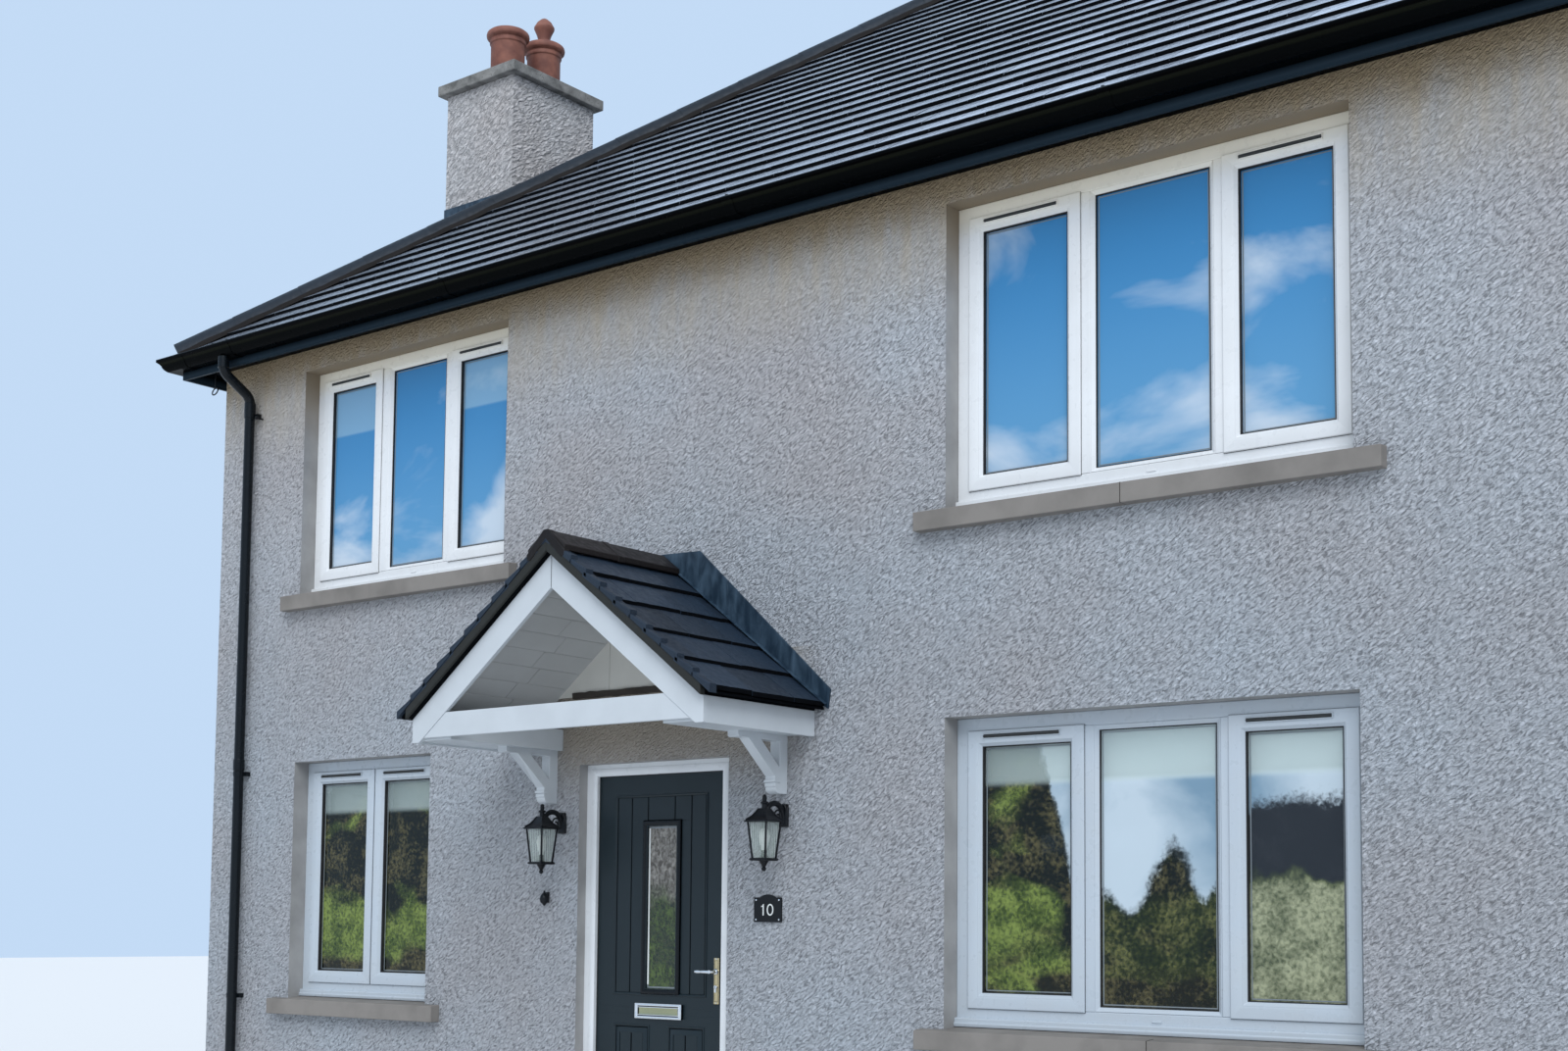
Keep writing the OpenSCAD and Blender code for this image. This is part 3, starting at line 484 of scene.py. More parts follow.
def lead_finish():
    """Dull blue sheet lead with pale and dark streaks that run down it."""
    finish = Finish("lead", (0.03, 0.05, 0.08), 0.42, Specular_IOR_Level=0.3)
    streaks = finish.noise(5, 5, 0.4, finish.spot((0.25, 0.25, 0.8)))
    dull, pale = (0.010, 0.024, 0.042), (0.048, 0.083, 0.122)
    finish.set("Base Color", finish.between(streaks, 0.40, 0.70, dull, pale))
    finish.bump(finish.noise(14, 3), 0.004)
    return finish.material


def clay_finish():
    """Terracotta, dusty and sooty in patches."""
    finish = Finish("terracotta", (0.22, 0.10, 0.08), 0.6, Specular_IOR_Level=0.3)
    patches = finish.noise(12, 5)
    finish.set("Base Color", finish.between(patches, 0.3, 0.7, (0.15, 0.058, 0.045), (0.29, 0.118, 0.083)))
    finish.bump(finish.noise(180, 3), 0.001)
    return finish.material


def concrete_finish():
    """Weathered cast concrete with pale chips and dark growth."""
    finish = Finish("concrete", (0.24, 0.24, 0.235), 0.9)
    patches = finish.noise(11, 6, 0.3)
    base = finish.between(patches, 0.32, 0.66, (0.105, 0.105, 0.10), (0.255, 0.25, 0.24))
    finish.set("Base Color", finish.between(finish.noise(90, 2), 0.62, 0.7, base, (0.10, 0.09, 0.08)))
    finish.bump(finish.noise(55, 5), 0.004)
    return finish.material


# Skyline of the painted reflection in the lower panes: places along the front with their heights, and the
# height that counts as 1
SKY_START, SKY_END = -3.8, 3.2
SKY_TOP = 3.0
TREETOPS = ((-3.8, 2.20), (-2.3, 2.40), (1.10, 2.50), (1.46, 2.30), (1.62, 1.72), (1.90, 1.54), (2.10, 1.84),
            (2.24, 1.62), (2.30, 1.66), (2.46, 2.00), (3.2, 2.03))


def glass_with_painted_reflections():
    """Double glazing with painted reflections of sky above and of a garden below. Downstairs its top shows
    more of the blinds behind it, and is painted paler there as their light."""
    finish = Finish("window_glass", (0.1, 0.3, 0.55), 0.03, Coat_Weight=0.3, Coat_Roughness=0.01,
                    Specular_IOR_Level=0.2)
    x, y, high = finish.place()
    by_blind = finish.minus(finish.span(high, 2.05, 2.09), finish.span(high, 2.5, 2.6))
    finish.set("Alpha", finish.minus(0.80, finish.times(by_blind, 0.38)))
    # Painted reflections of cloud, sky and garden, painted paler where the blinds hang behind.
    cloud = finish.noise(1.5, 5, 0.45, finish.spot((1.3, 1.3, 0.75)))
    haze = finish.between(cloud, 0.40, 0.62, (0.22, 0.35, 0.46), (0.60, 0.70, 0.77))
    haze = finish.mix(finish.times(by_blind, 0.8), haze, (0.80, 0.90, 0.92))
    garden = mirrored_garden(finish, x, y, high, haze)
    garden = finish.mix(finish.times(by_blind, 0.55), garden, (0.66, 0.80, 0.78))
    sky = mirrored_sky(finish, x, high, cloud)
    finish.set("Base Color", finish.mix(finish.span(high, 2.7, 2.9), garden, sky))
    return finish.material


def mirrored_sky(finish, x, high, cloud):
    """Painted reflection of deep blue sky with low clouds, painted paler before the blinds in the side panes
    of the upper left window.
    """
    blue = finish.mix(finish.span(high, 3.2, 4.6), (0.15, 0.40, 0.66), (0.045, 0.26, 0.56))
    low_sky = finish.minus(1.0, finish.span(high, 3.35, 4.35))
    amount = finish.plus(cloud, finish.times(low_sky, 0.12))
    sky = finish.between(amount, 0.55, 0.76, blue, (0.66, 0.76, 0.86))
    aside = finish.maths("ABSOLUTE", finish.plus(x, 2.645))
    by_blind = finish.times(finish.span(high, 4.29, 4.31), finish.maths("LESS_THAN", aside, 0.9),
                            finish.maths("GREATER_THAN", aside, 0.30))
    return finish.mix(finish.times(by_blind, 0.40), sky, (0.50, 0.72, 0.82))


def mirrored_garden(finish, x, y, high, haze):
    """Painted reflection of pale cloud over a leafy skyline that repeats round the house: lit and shaded
    growth, a dark fir in the middle, and a dark mass at the right with a silvery bush under it."""
    length = SKY_END - SKY_START
    along = finish.plus(x, finish.minus(y, front_y + GLASS_FRONT))
    run = finish.node("Math", {0: along, 1: SKY_END, 2: SKY_START}, operation="WRAP").outputs[0]
    right = finish.span(run, 2.30, 2.36)
    middle = finish.minus(finish.span(run, 1.66, 1.74), finish.span(run, 2.32, 2.40))

    stops = [((place - SKY_START) / length, top / SKY_TOP) for place, top in TREETOPS]
    treetops = finish.ramp(finish.maths("DIVIDE", finish.minus(run, SKY_START), length), *stops)
    ragged = finish.minus(0.24, finish.times(right, 0.22))
    clumps = finish.times(finish.minus(finish.noise(5, 3, 0.6), 0.5), ragged)
    skyline = finish.plus(finish.times(treetops, SKY_TOP), clumps)

    shadows = finish.ramp(finish.noise(8, 4, 0.4), (0.42, 0.0), (0.60, 1.0))
    leaves = finish.times(finish.noise(52, 10, 0.4), finish.plus(0.72, finish.times(shadows, 0.36)))
    bush_top = finish.plus(high, finish.times(finish.noise(5, 6), 0.34))
    bush = finish.times(right, finish.minus(1.0, finish.span(bush_top, 1.80, 1.86)))
    hump = finish.times(finish.span(high, 1.12, 1.28), finish.minus(1.0, finish.span(high, 1.5, 1.7)))
    patches = finish.plus(finish.noise(2.6, 3, 0.6, finish.spot((1.2, 1.2, 0.8))), finish.times(hump, 0.22))
    lit = finish.times(finish.ramp(patches, (0.59, 0.0), (0.72, 1.0)), finish.minus(1.0, right),
                       finish.minus(1.0, finish.times(middle, 0.8)))
    lit = finish.maths("MAXIMUM", lit, bush)

    dark = finish.between(leaves, 0.40, 0.70, finish.mix(right, (0.003, 0.006, 0.003), (0.022, 0.027, 0.034)),
                          finish.mix(right, (0.12, 0.105, 0.045), (0.032, 0.037, 0.045)))
    bright = finish.between(leaves, 0.26, 0.66, finish.mix(bush, (0.020, 0.042, 0.007), (0.09, 0.11, 0.06)),
                            finish.mix(bush, (0.24, 0.31, 0.07), (0.42, 0.44, 0.28)))
    above = finish.minus(finish.plus(high, finish.times(leaves, 0.12)), skyline)
    return finish.mix(finish.span(above, -0.03, 0.05), finish.mix(lit, dark, bright), haze)


def patterned_glass():
    """Obscure glass with painted reflections, brownish grey above and green below, broken up by its pattern.
    """
    finish = Finish("door_glass", (0.10, 0.13, 0.09), 0.1, Alpha=0.94)
    high = finish.plus(finish.place()[2], finish.times(finish.noise(9, 3), 0.22))
    blots = finish.noise(60, 4, 0.8, finish.spot((1, 1, 1.5)))
    # Painted reflections: brownish grey above, green below.
    upper = finish.between(blots, 0.38, 0.72, (0.085, 0.075, 0.062), (0.36, 0.34, 0.31))
    lower = finish.between(blots, 0.36, 0.70, (0.010, 0.022, 0.006), (0.11, 0.165, 0.04))
    dim = finish.ramp(finish.noise(7, 3, 0.5), (0.42, 0.0), (0.60, 0.8))
    lower = finish.mix(dim, lower, (0.02, 0.03, 0.018))
    finish.set("Base Color", finish.mix(finish.span(high, 1.62, 1.80), lower, upper))
    cells = finish.node("TexVoronoi", {"Vector": finish.spot((1, 1, 1.6)), "Scale": 90})
    finish.bump(cells.outputs["Distance"], 0.002)
    return finish.material


def lantern_panes():
    """Clear ribbed glass."""
    finish = Finish("lantern_glass", (0.42, 0.50, 0.46), 0.08, Alpha=0.42)
    ribs = finish.node("TexWave", {"Scale": 26.0, "Vector": finish.wall_spot(), "Distortion": 0.4}).outputs[1]
    finish.set("Base Color", finish.mix(ribs, (0.22, 0.30, 0.25), (0.74, 0.80, 0.76)))
    finish.bump(ribs, 0.003)
    return finish.material


def cloth_finish():
    """Plain woven blind cloth."""
    finish = Finish("blind_cloth", (0.66, 0.76, 0.72), 0.9)
    weave = finish.noise(500, 2, 0, finish.spot((3, 3, 1)))
    finish.set("Base Color", finish.mix(weave, (0.74, 0.84, 0.80), (0.88, 0.95, 0.91)))
    finish.bump(weave, 0.0004)
    return finish.material


def board_finish():
    """Floor boards: long grain along X."""
    finish = Finish("floor_boards", (0.36, 0.23, 0.12), 0.5)
    grain = finish.noise(8, 6, 0.6, finish.spot((0.6, 9, 9)))
    finish.set("Base Color", finish.mix(grain, (0.22, 0.13, 0.06), (0.48, 0.33, 0.18)))
    finish.bump(grain, 0.001)
    return finish.material


ROUGHCAST = roughcast("roughcast", (0.472, 0.479, 0.499), stains_and_shade=True)
CHIMNEY_CAST = roughcast("chimney_roughcast", (0.55, 0.54, 0.54), fineness=58, relief_depth=0.024, pit_shade=0.62)
STONE = painted_stone("painted_stone", (0.243, 0.224, 0.206))
REVEAL = painted_stone("painted_reveal", (0.355, 0.35, 0.345), browner_up=True)
MORTAR = painted_stone("mortar", (0.022, 0.017, 0.014))
GABLE_FOOT = painted_stone("gable_foot", (0.055, 0.047, 0.040))
# Near black mortar under the hip tiles: painted shade.
HIP_MORTAR_PAINTED_SHADE = painted_stone("hip_mortar", (0.012, 0.009, 0.0075))
# Near black for the slates' butts, the beds under the slates and the door's shadow lines: painted shade.
PAINTED_SHADE_BLACK = plain("painted_shade_black", (0.002, 0.0025, 0.0035), 0.9, Specular_IOR_Level=0.05)
SLATE = slate_finish("slate", (0.11, 0.128, 0.158), 0.25, 1.0, Coat_Weight=0.35, Coat_Roughness=0.25)
# Bright slate colour that carries the painted sheen on the front slope.
FRONT_SLATE = slate_finish("front_slate", (0.45, 0.515, 0.63), 0.25, 1.0, sheen=True,
                           Coat_Weight=0.35, Coat_Roughness=0.25)
CANOPY_SLATE = slate_finish("canopy_slate", (0.011, 0.020, 0.034), 0.42, 0.35)
RIDGE_PLASTIC = slate_finish("canopy_ridge", (0.010, 0.0075, 0.007), 0.45, 0.2)
HIP_TILE = slate_finish("hip_tile", (0.010, 0.0145, 0.021), 0.5, 0.25)
LEAD = lead_finish()
CLAY = clay_finish()
CONCRETE = concrete_finish()
DARK_PLASTIC = plain("anthracite_plastic", (0.004, 0.006, 0.008), 0.24, 0.0003, 40, Specular_IOR_Level=0.22)
# Painted highlights of sky light on the lip and on the swell of the moulding, black between them.
GUTTER = painted_light_bands("gutter_plastic", 4.80, 4.89, (0.0, (0.001, 0.0015, 0.002)), (0.50, (0.0015, 0.002, 0.002)),
                (0.58, (0.007, 0.008, 0.005)), (0.66, (0.008, 0.009, 0.006)), (0.70, (0.0008, 0.0008, 0.001)),
                (0.88, (0.0012, 0.0015, 0.002)), (0.93, (0.040, 0.048, 0.056)))
# Painted blue sky reflection on the lower fascia, and painted black shade under the gutter.
FASCIA = painted_light_bands("fascia", 4.75, 4.90, (0.08, (0.014, 0.025, 0.036)), (0.20, (0.024, 0.039, 0.054)),
                (0.36, (0.009, 0.016, 0.023)), (0.47, (0.001, 0.0015, 0.002)))
WINDOW_PLASTIC = window_plastic()
WHITE_PLASTIC = plain("white_plastic", (0.74, 0.76, 0.78), 0.3, 0.0002, 60)
# White boards painted darker and bluer than the window plastic: painted shade.
BOARD_WHITE_PAINTED_SHADE = plain("white_boards", (0.55, 0.585, 0.615), 0.4, 0.0004, 90)
# Lining boards painted darker still: painted shade under the canopy.
LINING_WHITE_PAINTED_SHADE = plain("lining_boards", (0.47, 0.475, 0.47), 0.4, 0.0004, 90)
GABLE_WHITE = plain("gable_boards", (0.74, 0.72, 0.66), 0.4, 0.0004, 90)
VERGE = plain("verge", (0.024, 0.025, 0.023), 0.6, 0.001, 60, Specular_IOR_Level=0.2)
# Black rubber for gaskets; also the black of painted shadow strips and gaps.
RUBBER_AND_PAINTED_SHADOW = plain("rubber_and_shadow", (0.012, 0.012, 0.013), 0.7)
VENT = plain("vent", (0.035, 0.038, 0.038), 0.6)
SEAL = plain("glazing_seal", (0.20, 0.23, 0.25), 0.4)
DOOR_PAINT = plain("door_paint", (0.007, 0.0155, 0.020), 0.36, 0.0004, 260, Specular_IOR_Level=0.35)
CHROME = plain("chrome", (0.78, 0.80, 0.82), 0.14, Metallic=1.0)
BRASS = plain("brass", (0.62, 0.50, 0.29), 0.26, Metallic=1.0)
FLAP_METAL = plain("flap_metal", (0.40, 0.40, 0.25), 0.22, Metallic=1.0)
BLACK_METAL = plain("black_metal", (0.006, 0.007, 0.009), 0.34, 0.0006, 220, Specular_IOR_Level=0.22)
PALE_PAINT = plain("pale_paint", (0.80, 0.82, 0.80), 0.5)
GLASS = glass_with_painted_reflections()
DOOR_GLASS = patterned_glass()
LANTERN_GLASS = lantern_panes()
CLOTH = cloth_finish()
BOARDS = board_finish()

CAD_WALLS = ("front_wall_left", "front_wall_right", "front_wall_over_door", "left_wall", "right_wall",
             "rear_wall")
# The other CAD nodes that stay in view, with the width of their softened edges
CAD_FINISHES = {
    "ground_floor": (STONE, 0),
    "first_floor": (BOARDS, 0),
    # The CAD roof slopes show only between the slates: black as painted shade.
    "roof_front": (PAINTED_SHADE_BLACK, 0),
    "roof_rear": (PAINTED_SHADE_BLACK, 0),
    "roof_hip_ends": (PAINTED_SHADE_BLACK, 0),
    "eaves_boards": (FASCIA, 0.003),
    "long_gutters": (GUTTER, 0.0015),
    "side_gutters": (GUTTER, 0.0015),
    "chimney_stack": (CHIMNEY_CAST, 0.006),
    "chimney_cap": (CONCRETE, 0.006),
    "chimney_flashing": (LEAD, 0),
    "chimney_pots": (CLAY, 0.003),
    "window_glass": (GLASS, 0),
    "window_sills": (STONE, 0.004),
    "door_frame": (WHITE_PLASTIC, 0.003),
    "door_leaf": (DOOR_PAINT, 0.002),
    "letter_rail": (DOOR_PAINT, 0),
    "door_threshold": (CHROME, 0.003),
    "door_glass": (DOOR_GLASS, 0),
    "letter_plate": (CHROME, 0.002),
    "letter_flap": (FLAP_METAL, 0.001),
    "handle_plates": (BRASS, 0.003),
    "handle_lever": (CHROME, 0.002),
    "barge_boards": (BOARD_WHITE_PAINTED_SHADE, 0.003),
    "canopy_beams": (BOARD_WHITE_PAINTED_SHADE, 0.003),
    "canopy_brackets": (BOARD_WHITE_PAINTED_SHADE, 0.003),
    "wall_lanterns": (BLACK_METAL, 0),
    "lantern_glass": (LANTERN_GLASS, 0),
    "number_plate": (BLACK_METAL, 0.002),
}


def dress(node, finish, bevel=0):
    """Gives a CAD node its finish, and softened edges where asked."""
    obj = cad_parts[node]
    obj.data.materials.clear()
    obj.data.materials.append(finish)
    if bevel:
        obj.modifiers.new("weld", "WELD").merge_threshold = 1e-5
        soften(obj, bevel)
    return obj


def dress_cad():
    """Finishes of the CAD nodes. Walls are roughcast on their outer faces, and smooth and painted in
    their reveals and inside."""
    for node in CAD_WALLS:
        obj = dress(node, ROUGHCAST)
        obj.data.materials.append(REVEAL)
        for face in obj.data.polygons:
            x, y = face.center.x, face.center.y
            outside = min(abs(abs(x) - half_w), abs(y - front_y), abs(y - rear_y)) < 1e-3
            face.material_index = 0 if outside else 1
    for node, (finish, bevel) in CAD_FINISHES.items():
        dress(node, finish, bevel)


# Main roof

SLATE_W, SLATE_GAP, SLATE_T = 0.300, 0.004, 0.014


def slate_side(name, angle, distance, half, finish=SLATE):
    """Separate slates on one slope, laid half bond and cut along the hips."""
    shape = Shape(turned(angle, distance))
    for course in range(COURSES):
        t0 = course * course_run
        t1 = t0 + course_run
        z0 = slate_eave_z + slope * t0
        z1 = slate_eave_z + slope * t1 - COURSE_STEP
        u = -half + (course % 2) * SLATE_W / 2 - SLATE_W
        while u < half:
            lift = 0.008 + random.uniform(0, 0.003)
            slip = random.uniform(-0.002, 0.002)
            sides = (u + SLATE_GAP / 2, u + SLATE_W - SLATE_GAP / 2)
            foot, head = ([max(-half + t, min(half - t, side)) for side in sides] for t in (t0, t1))
            u += SLATE_W
            if foot[1] - foot[0] < 0.01:
                continue
            top = [(foot[0], t0 + slip, z0 + lift), (foot[1], t0 + slip, z0 + lift),
                   (head[1], t1, z1 + 0.002), (head[0], t1, z1 + 0.002)]
            low = [(x, t, z - SLATE_T) for x, t, z in top]
            shape.tone = random.uniform(0.25, 0.75)
            shape.add(low + top, [[4, 5, 6, 7], [1, 2, 6, 5], [3, 0, 4, 7], [2, 3, 7, 6]])
            # The butt face takes the edge finish: black as painted shade.
            shape.tone = 0.0
            shape.add([low[0], low[1], top[1], top[0]], [[0, 1, 2, 3]])
    piece(name, shape, finish, smooth=10, edge=PAINTED_SHADE_BLACK)


CAP_R, CAP_RISE, CAP_T = 0.108, 0.062, 0.018
TILE, TILE_LAP = 0.455, 0.050
HIP_START, HIP_END, RIDGE_PAST = 0.050, 0.060, 0.050
MORTAR_STEP = 0.07
MORTAR_SECTION = ((0.068, 0.0), (0.130, 0.004), (0.118, 0.022), (0.092, 0.034))


def barrel(tiles, mortar, length, fall):
    """Overlapping barrel tiles along local X, with mortar between them and the slates."""
    count = math.ceil(length / TILE)
    step = length / count
    for i in range(count):
        tiles.tone = random.uniform(0.3, 0.7)
        rings = []
        for x, lift in ((i * step - (TILE_LAP if i else 0), 0.0015), ((i + 1) * step, -0.0015)):
            middle = (0, CAP_RISE - CAP_R + lift)
            outline = arc(CAP_R, 4, 176, 14, middle) + arc(CAP_R - CAP_T, 176, 4, 14, middle)
            rings.append([(x, y, z) for y, z in outline])
        tiles.loft(rings)
    steps = math.ceil(length / MORTAR_STEP)
    for side in (-1, 1):
        rings = []
        for i in range(steps + 1):
            sag = random.uniform(-0.004, 0.004)
            rings.append([(length * i / steps, side * (y + sag), z - y * math.tan(fall))
                          for y, z in MORTAR_SECTION])
        mortar.loft(rings)


def make_hips():
    """Hip and ridge tiles."""
    tiles, mortar = Shape(), Shape()
    climb = math.atan(slope / math.sqrt(2))
    length = math.sqrt(2) * half_side / math.cos(climb)
    fall = math.acos(math.cos(PITCH) / math.cos(climb))
    ridge_half = half_front - half_side
    for sx in (-1, 1):
        for sy in (-1, 1):
            start = Vector((sx * half_front, mid_y + sy * half_side, slate_eave_z))
            ahead = (Vector((sx * ridge_half, mid_y, ridge_z)) - start).normalized()
            side = Vector((0, 0, 1)).cross(ahead).normalized()
            turn = Matrix((ahead, side, ahead.cross(side))).transposed().to_4x4()
            tiles.place = mortar.place = Matrix.Translation(start + ahead * HIP_START) @ turn
            barrel(tiles, mortar, length - HIP_START - HIP_END, fall)
    tiles.place = mortar.place = Matrix.Translation((-ridge_half - RIDGE_PAST, mid_y, ridge_z))
    barrel(tiles, mortar, 2 * (ridge_half + RIDGE_PAST), PITCH)
    piece("hip_and_ridge_tiles", tiles, HIP_TILE, bevel=0.003, replaces=("hip_and_ridge_tiles",))
    piece("hip_mortar", mortar, HIP_MORTAR_PAINTED_SHADE)


def make_roof():
    """Slates on the four slopes, then the tiles over their hips and ridge."""
    slate_side("slates_front", FRONT, half_side, half_front, FRONT_SLATE)
    slate_side("slates_right", RIGHT, half_front, half_side)
    slate_side("slates_rear", REAR, half_side, half_front)
    slate_side("slates_left", LEFT, half_front, half_side)
    make_hips()


# Windows

SASH_W, SASH_LAP, BEAD_W = 0.064, 0.006, 0.020
BOTTOM_RAIL = 0.088
FRAME_BACK = 0.168
NOSE = RECESS + 0.0035
CILL = ((FRAME_BACK, 0.001), (0.078, 0.001), (0.076, 0.004), (0.076, 0.017), (0.079, 0.019), (0.081, 0.021),
        (0.081, 0.036), (0.084, 0.040), (0.102, 0.042), (FRAME_BACK, 0.042))


def behind(face, *points):
    """A frame's profile, from insets and their depths behind a face."""
    return [(inset, face + depth) for inset, depth in points]


def window(parts, box, panes):
    """One window from its frame's box and its panes' boxes, all as the wall sees them."""
    white = parts[0]
    x0, x1, z0, z1 = box[0].x, box[1].x, box[0].z, box[1].z
    low = z0 + BOTTOM_RAIL
    lights = []
    for p0, p1 in sorted(panes, key=lambda b: b[0].x):
        glass = (p0.x, p1.x, p0.z, p1.z)
        opens = p0.z - low > (SASH_W + BEAD_W) / 2
        lights.append((glass, grown(glass, SASH_W if opens else BEAD_W), opens))
    inner = (lights[0][1][0], lights[-1][1][1], lights[0][1][2], lights[0][1][3])
    white.frame((x0, x1, z0, z1), [(0, 0.170), (0, NOSE), (0.0035, RECESS), (-0.004, RECESS), (-0.0005, NOSE),
                                   (-0.0005, 0.170)], inner)
    for (_, left, _), (_, right, _) in zip(lights, lights[1:]):
        a, b = left[1], right[0]
        mullion = ((a, NOSE), (a + 0.004, RECESS), (b - 0.004, RECESS), (b, NOSE), (b, 0.169), (a, 0.169))
        white.loft([[(x, y, z) for x, y in mullion] for z in inner[2:]])
    for glass, opening, opens in lights:
        if opens:
            casement(parts, glass, opening)
        else:
            fixed_light(parts, glass, opening, low)
    white.bar([(y, z0 + z) for y, z in CILL], x0 + 0.001, x1 - 0.001)


def glaze(parts, glass, bead):
    """Gasket against a pane, and the edge of its sealed unit."""
    _, rubber_and_shadow, seal, _ = parts
    rubber_and_shadow.frame(glass, [(-0.0005, bead - 0.001), (0.0035, bead + 0.001), (0.0035, GLASS_FRONT + 0.001),
                         (-0.0005, GLASS_FRONT + 0.001)], glass)
    seal.band(glass, 0.008, 0.013, GLASS_FRONT - 0.0012, GLASS_FRONT + 0.001)


def casement(parts, glass, opening):
    """A sash that laps over its opening. A wide one has a trickle vent in its top rail, and a dark band of
    painted shadow round its edge.
    """
    white, rubber_and_shadow, _, vents = parts
    y = SASH_FACE
    face = behind(y, (0, 0.003), (0.003, 0), (0.047, 0), (0.050, 0.0015), (0.052, 0.0015), (0.055, 0.001),
                  (0.0695, 0.015))
    white.frame(grown(opening, SASH_LAP), [(0, RECESS - 0.0012), *face, (0.0695, FRAME_BACK),
                                           (0.012, FRAME_BACK), (0.012, RECESS - 0.0012)])
    glaze(parts, glass, y + 0.015)
    width = opening[1] - opening[0]
    if width > 0.3:
        a, b, z = opening[0] + 0.13 * width, opening[1] - 0.185 * width, opening[3] - 0.020
        white.frame((a, b, z - 0.012, z + 0.012), behind(y, (0, 0.002), (0, -0.006), (0.002, -0.008),
                                                         (0.004, -0.006), (0.004, 0.002)))
        vents.box((a + 0.003, y - 0.003, z - 0.010), (b - 0.003, y + 0.002, z + 0.010))
        hood = ((-0.006, 0.003), (-0.008, -0.001), (-0.006, -0.003), (0, -0.003), (0, 0.003))
        vents.bar([(y + d, z + h) for d, h in hood], a + 0.003, b - 0.003)
        # A dark band round the sash's edge: painted shadow of the gap between sash and frame.
        rubber_and_shadow.band(grown(opening, SASH_LAP + 0.0012), -0.0005, 0.0016, RECESS - 0.0006, RECESS + 0.001)


def fixed_light(parts, glass, opening, low):
    """Beads round a fixed pane, and the cover of a drain hole in the rail under it."""
    white = parts[0]
    white.frame(opening, [(0, RECESS + 0.002), (0.002, RECESS + 0.0005), (0.0195, RECESS + 0.014),
                          (0.0195, FRAME_BACK), (0, FRAME_BACK)])
    glaze(parts, glass, RECESS + 0.014)
    middle = (glass[0] + glass[1]) / 2
    white.bar([(RECESS + 0.001, low - 0.036), (RECESS - 0.004, low - 0.036), (RECESS - 0.003, low - 0.027),
               (RECESS + 0.001, low - 0.026)], middle - 0.022, middle + 0.022)


def make_windows():
    """Moulded frames, gaskets, seals, vents and the painted shadow bands round wide sashes, from the places
    of the CAD frames and panes.
    """
    glass = islands("window_glass")
    rows = {"upper_windows": ("front",), "lower_windows": ("front",), "rear_windows": ("rear",),
            "side_windows": ("left", "right")}
    for node, walls in rows.items():
        parts = [Shape(), Shape(), Shape(), Shape()]
        for wall in walls:
            panes = [in_wall(b, wall) for b in glass]
            for part in parts:
                part.place = WALLS[wall]
            for low, high in (in_wall(b, wall) for b in islands(node)):
                if -0.05 < low.y < 0.2:
                    window(parts, (low, high), [
                        p for p in panes if abs(p[0].y - GLASS_FRONT) < 0.01
                        and low.x < p[0].x and p[1].x < high.x and low.z < p[0].z and p[1].z < high.z])
        name = node.removesuffix("s")
        piece(name + "_frames", parts[0], WINDOW_PLASTIC, bevel=0.0008, replaces=(node,))
        piece(name + "_gaskets", parts[1], RUBBER_AND_PAINTED_SHADOW)
        piece(name + "_seals", parts[2], SEAL)
        piece(name + "_vents", parts[3], VENT)


# Canopy

CANOPY_APEX = 3.247
CANOPY_EAVE = 1.015
CANOPY_COURSES = 6
CANOPY_RUN = 0.188
CANOPY_FRONT, CANOPY_BACK = -0.836, -0.003


def canopy_z(dx):
    """Height of the slate line at a distance from the canopy's middle."""
    return CANOPY_APEX - slope * dx


def canopy_place(side=1):
    """The canopy's middle on the wall, mirrored for its left side."""
    return Matrix.Translation((CANOPY_MID, front_y, 0)) @ Matrix.Diagonal((side, 1, 1, 1))


def down_slope(shape, dx0, dx1, outline):
    """A bar down the slope, from an outline of depths and heights above the slate line."""
    shape.loft([[(dx, y, canopy_z(dx) + h) for y, h in outline] for dx in (dx0, dx1)])


def flat_bar(shape, dx0, dx1, y0, y1, low, high):
    """The same with a plain outline, between two depths and two heights."""
    down_slope(shape, dx0, dx1, ((y0, low), (y1, low), (y1, high), (y0, high)))


def canopy_slate(shape, foot, head, y0, y1):
    """One thick riven slate with a ragged foot."""
    steps, thick = 6, 0.021
    lift = 0.001 + random.uniform(0, 0.004)
    slip = random.uniform(-0.005, 0.0)
    shape.tone = random.uniform(0.2, 0.8)
    rag = [random.uniform(-0.003, 0.0) for _ in range(steps + 1)]
    feet = [(foot + slip + r, y0 + 0.0012 + (y1 - y0 - 0.0024) * i / steps) for i, r in enumerate(rag)]
    top = [(dx, y, canopy_z(dx) + lift) for dx, y in feet]
    top += [(head, y, canopy_z(head) + lift - 0.019) for _, y in feet]
    low = [(dx, y, z - thick) for dx, y, z in top]
    n = steps + 1
    shape.add(low + top, [[2 * n + i, 2 * n + i + 1, 3 * n + i + 1, 3 * n + i] for i in range(steps)]
              + [[i, n + i, n + i + 1, i + 1] for i in range(steps)]
              + [[0, 2 * n, 3 * n, n], [steps, n + steps, 3 * n + steps, 2 * n + steps]])
    # The butt face takes the edge finish: black as painted shade.
    shape.tone = 0.0
    shape.add(low[:n] + top[:n], [[i, i + 1, n + i + 1, n + i] for i in range(steps)])


def verge_caps(shape, foot):
    """Two caps on the front ends of one course, or one on the last course."""
    half_run = CANOPY_RUN / 2
    front, back, low = -0.8375, -0.790, -0.026
    shape.tone = 0.4
    for end in (foot + 0.004, foot - half_run)[:2 if foot > CANOPY_RUN else 1]:
        rings = []
        for dx, top in ((end, 0.014), (max(end - half_run - 0.01, 0.0), -0.007)):
            outline = ((front, low), (front, top - 0.005), (-0.833, top), (-0.794, top), (back, top - 0.005),
                       (back, low))
            rings.append([(dx, y, canopy_z(dx) + h) for y, h in outline])
        shape.loft(rings)


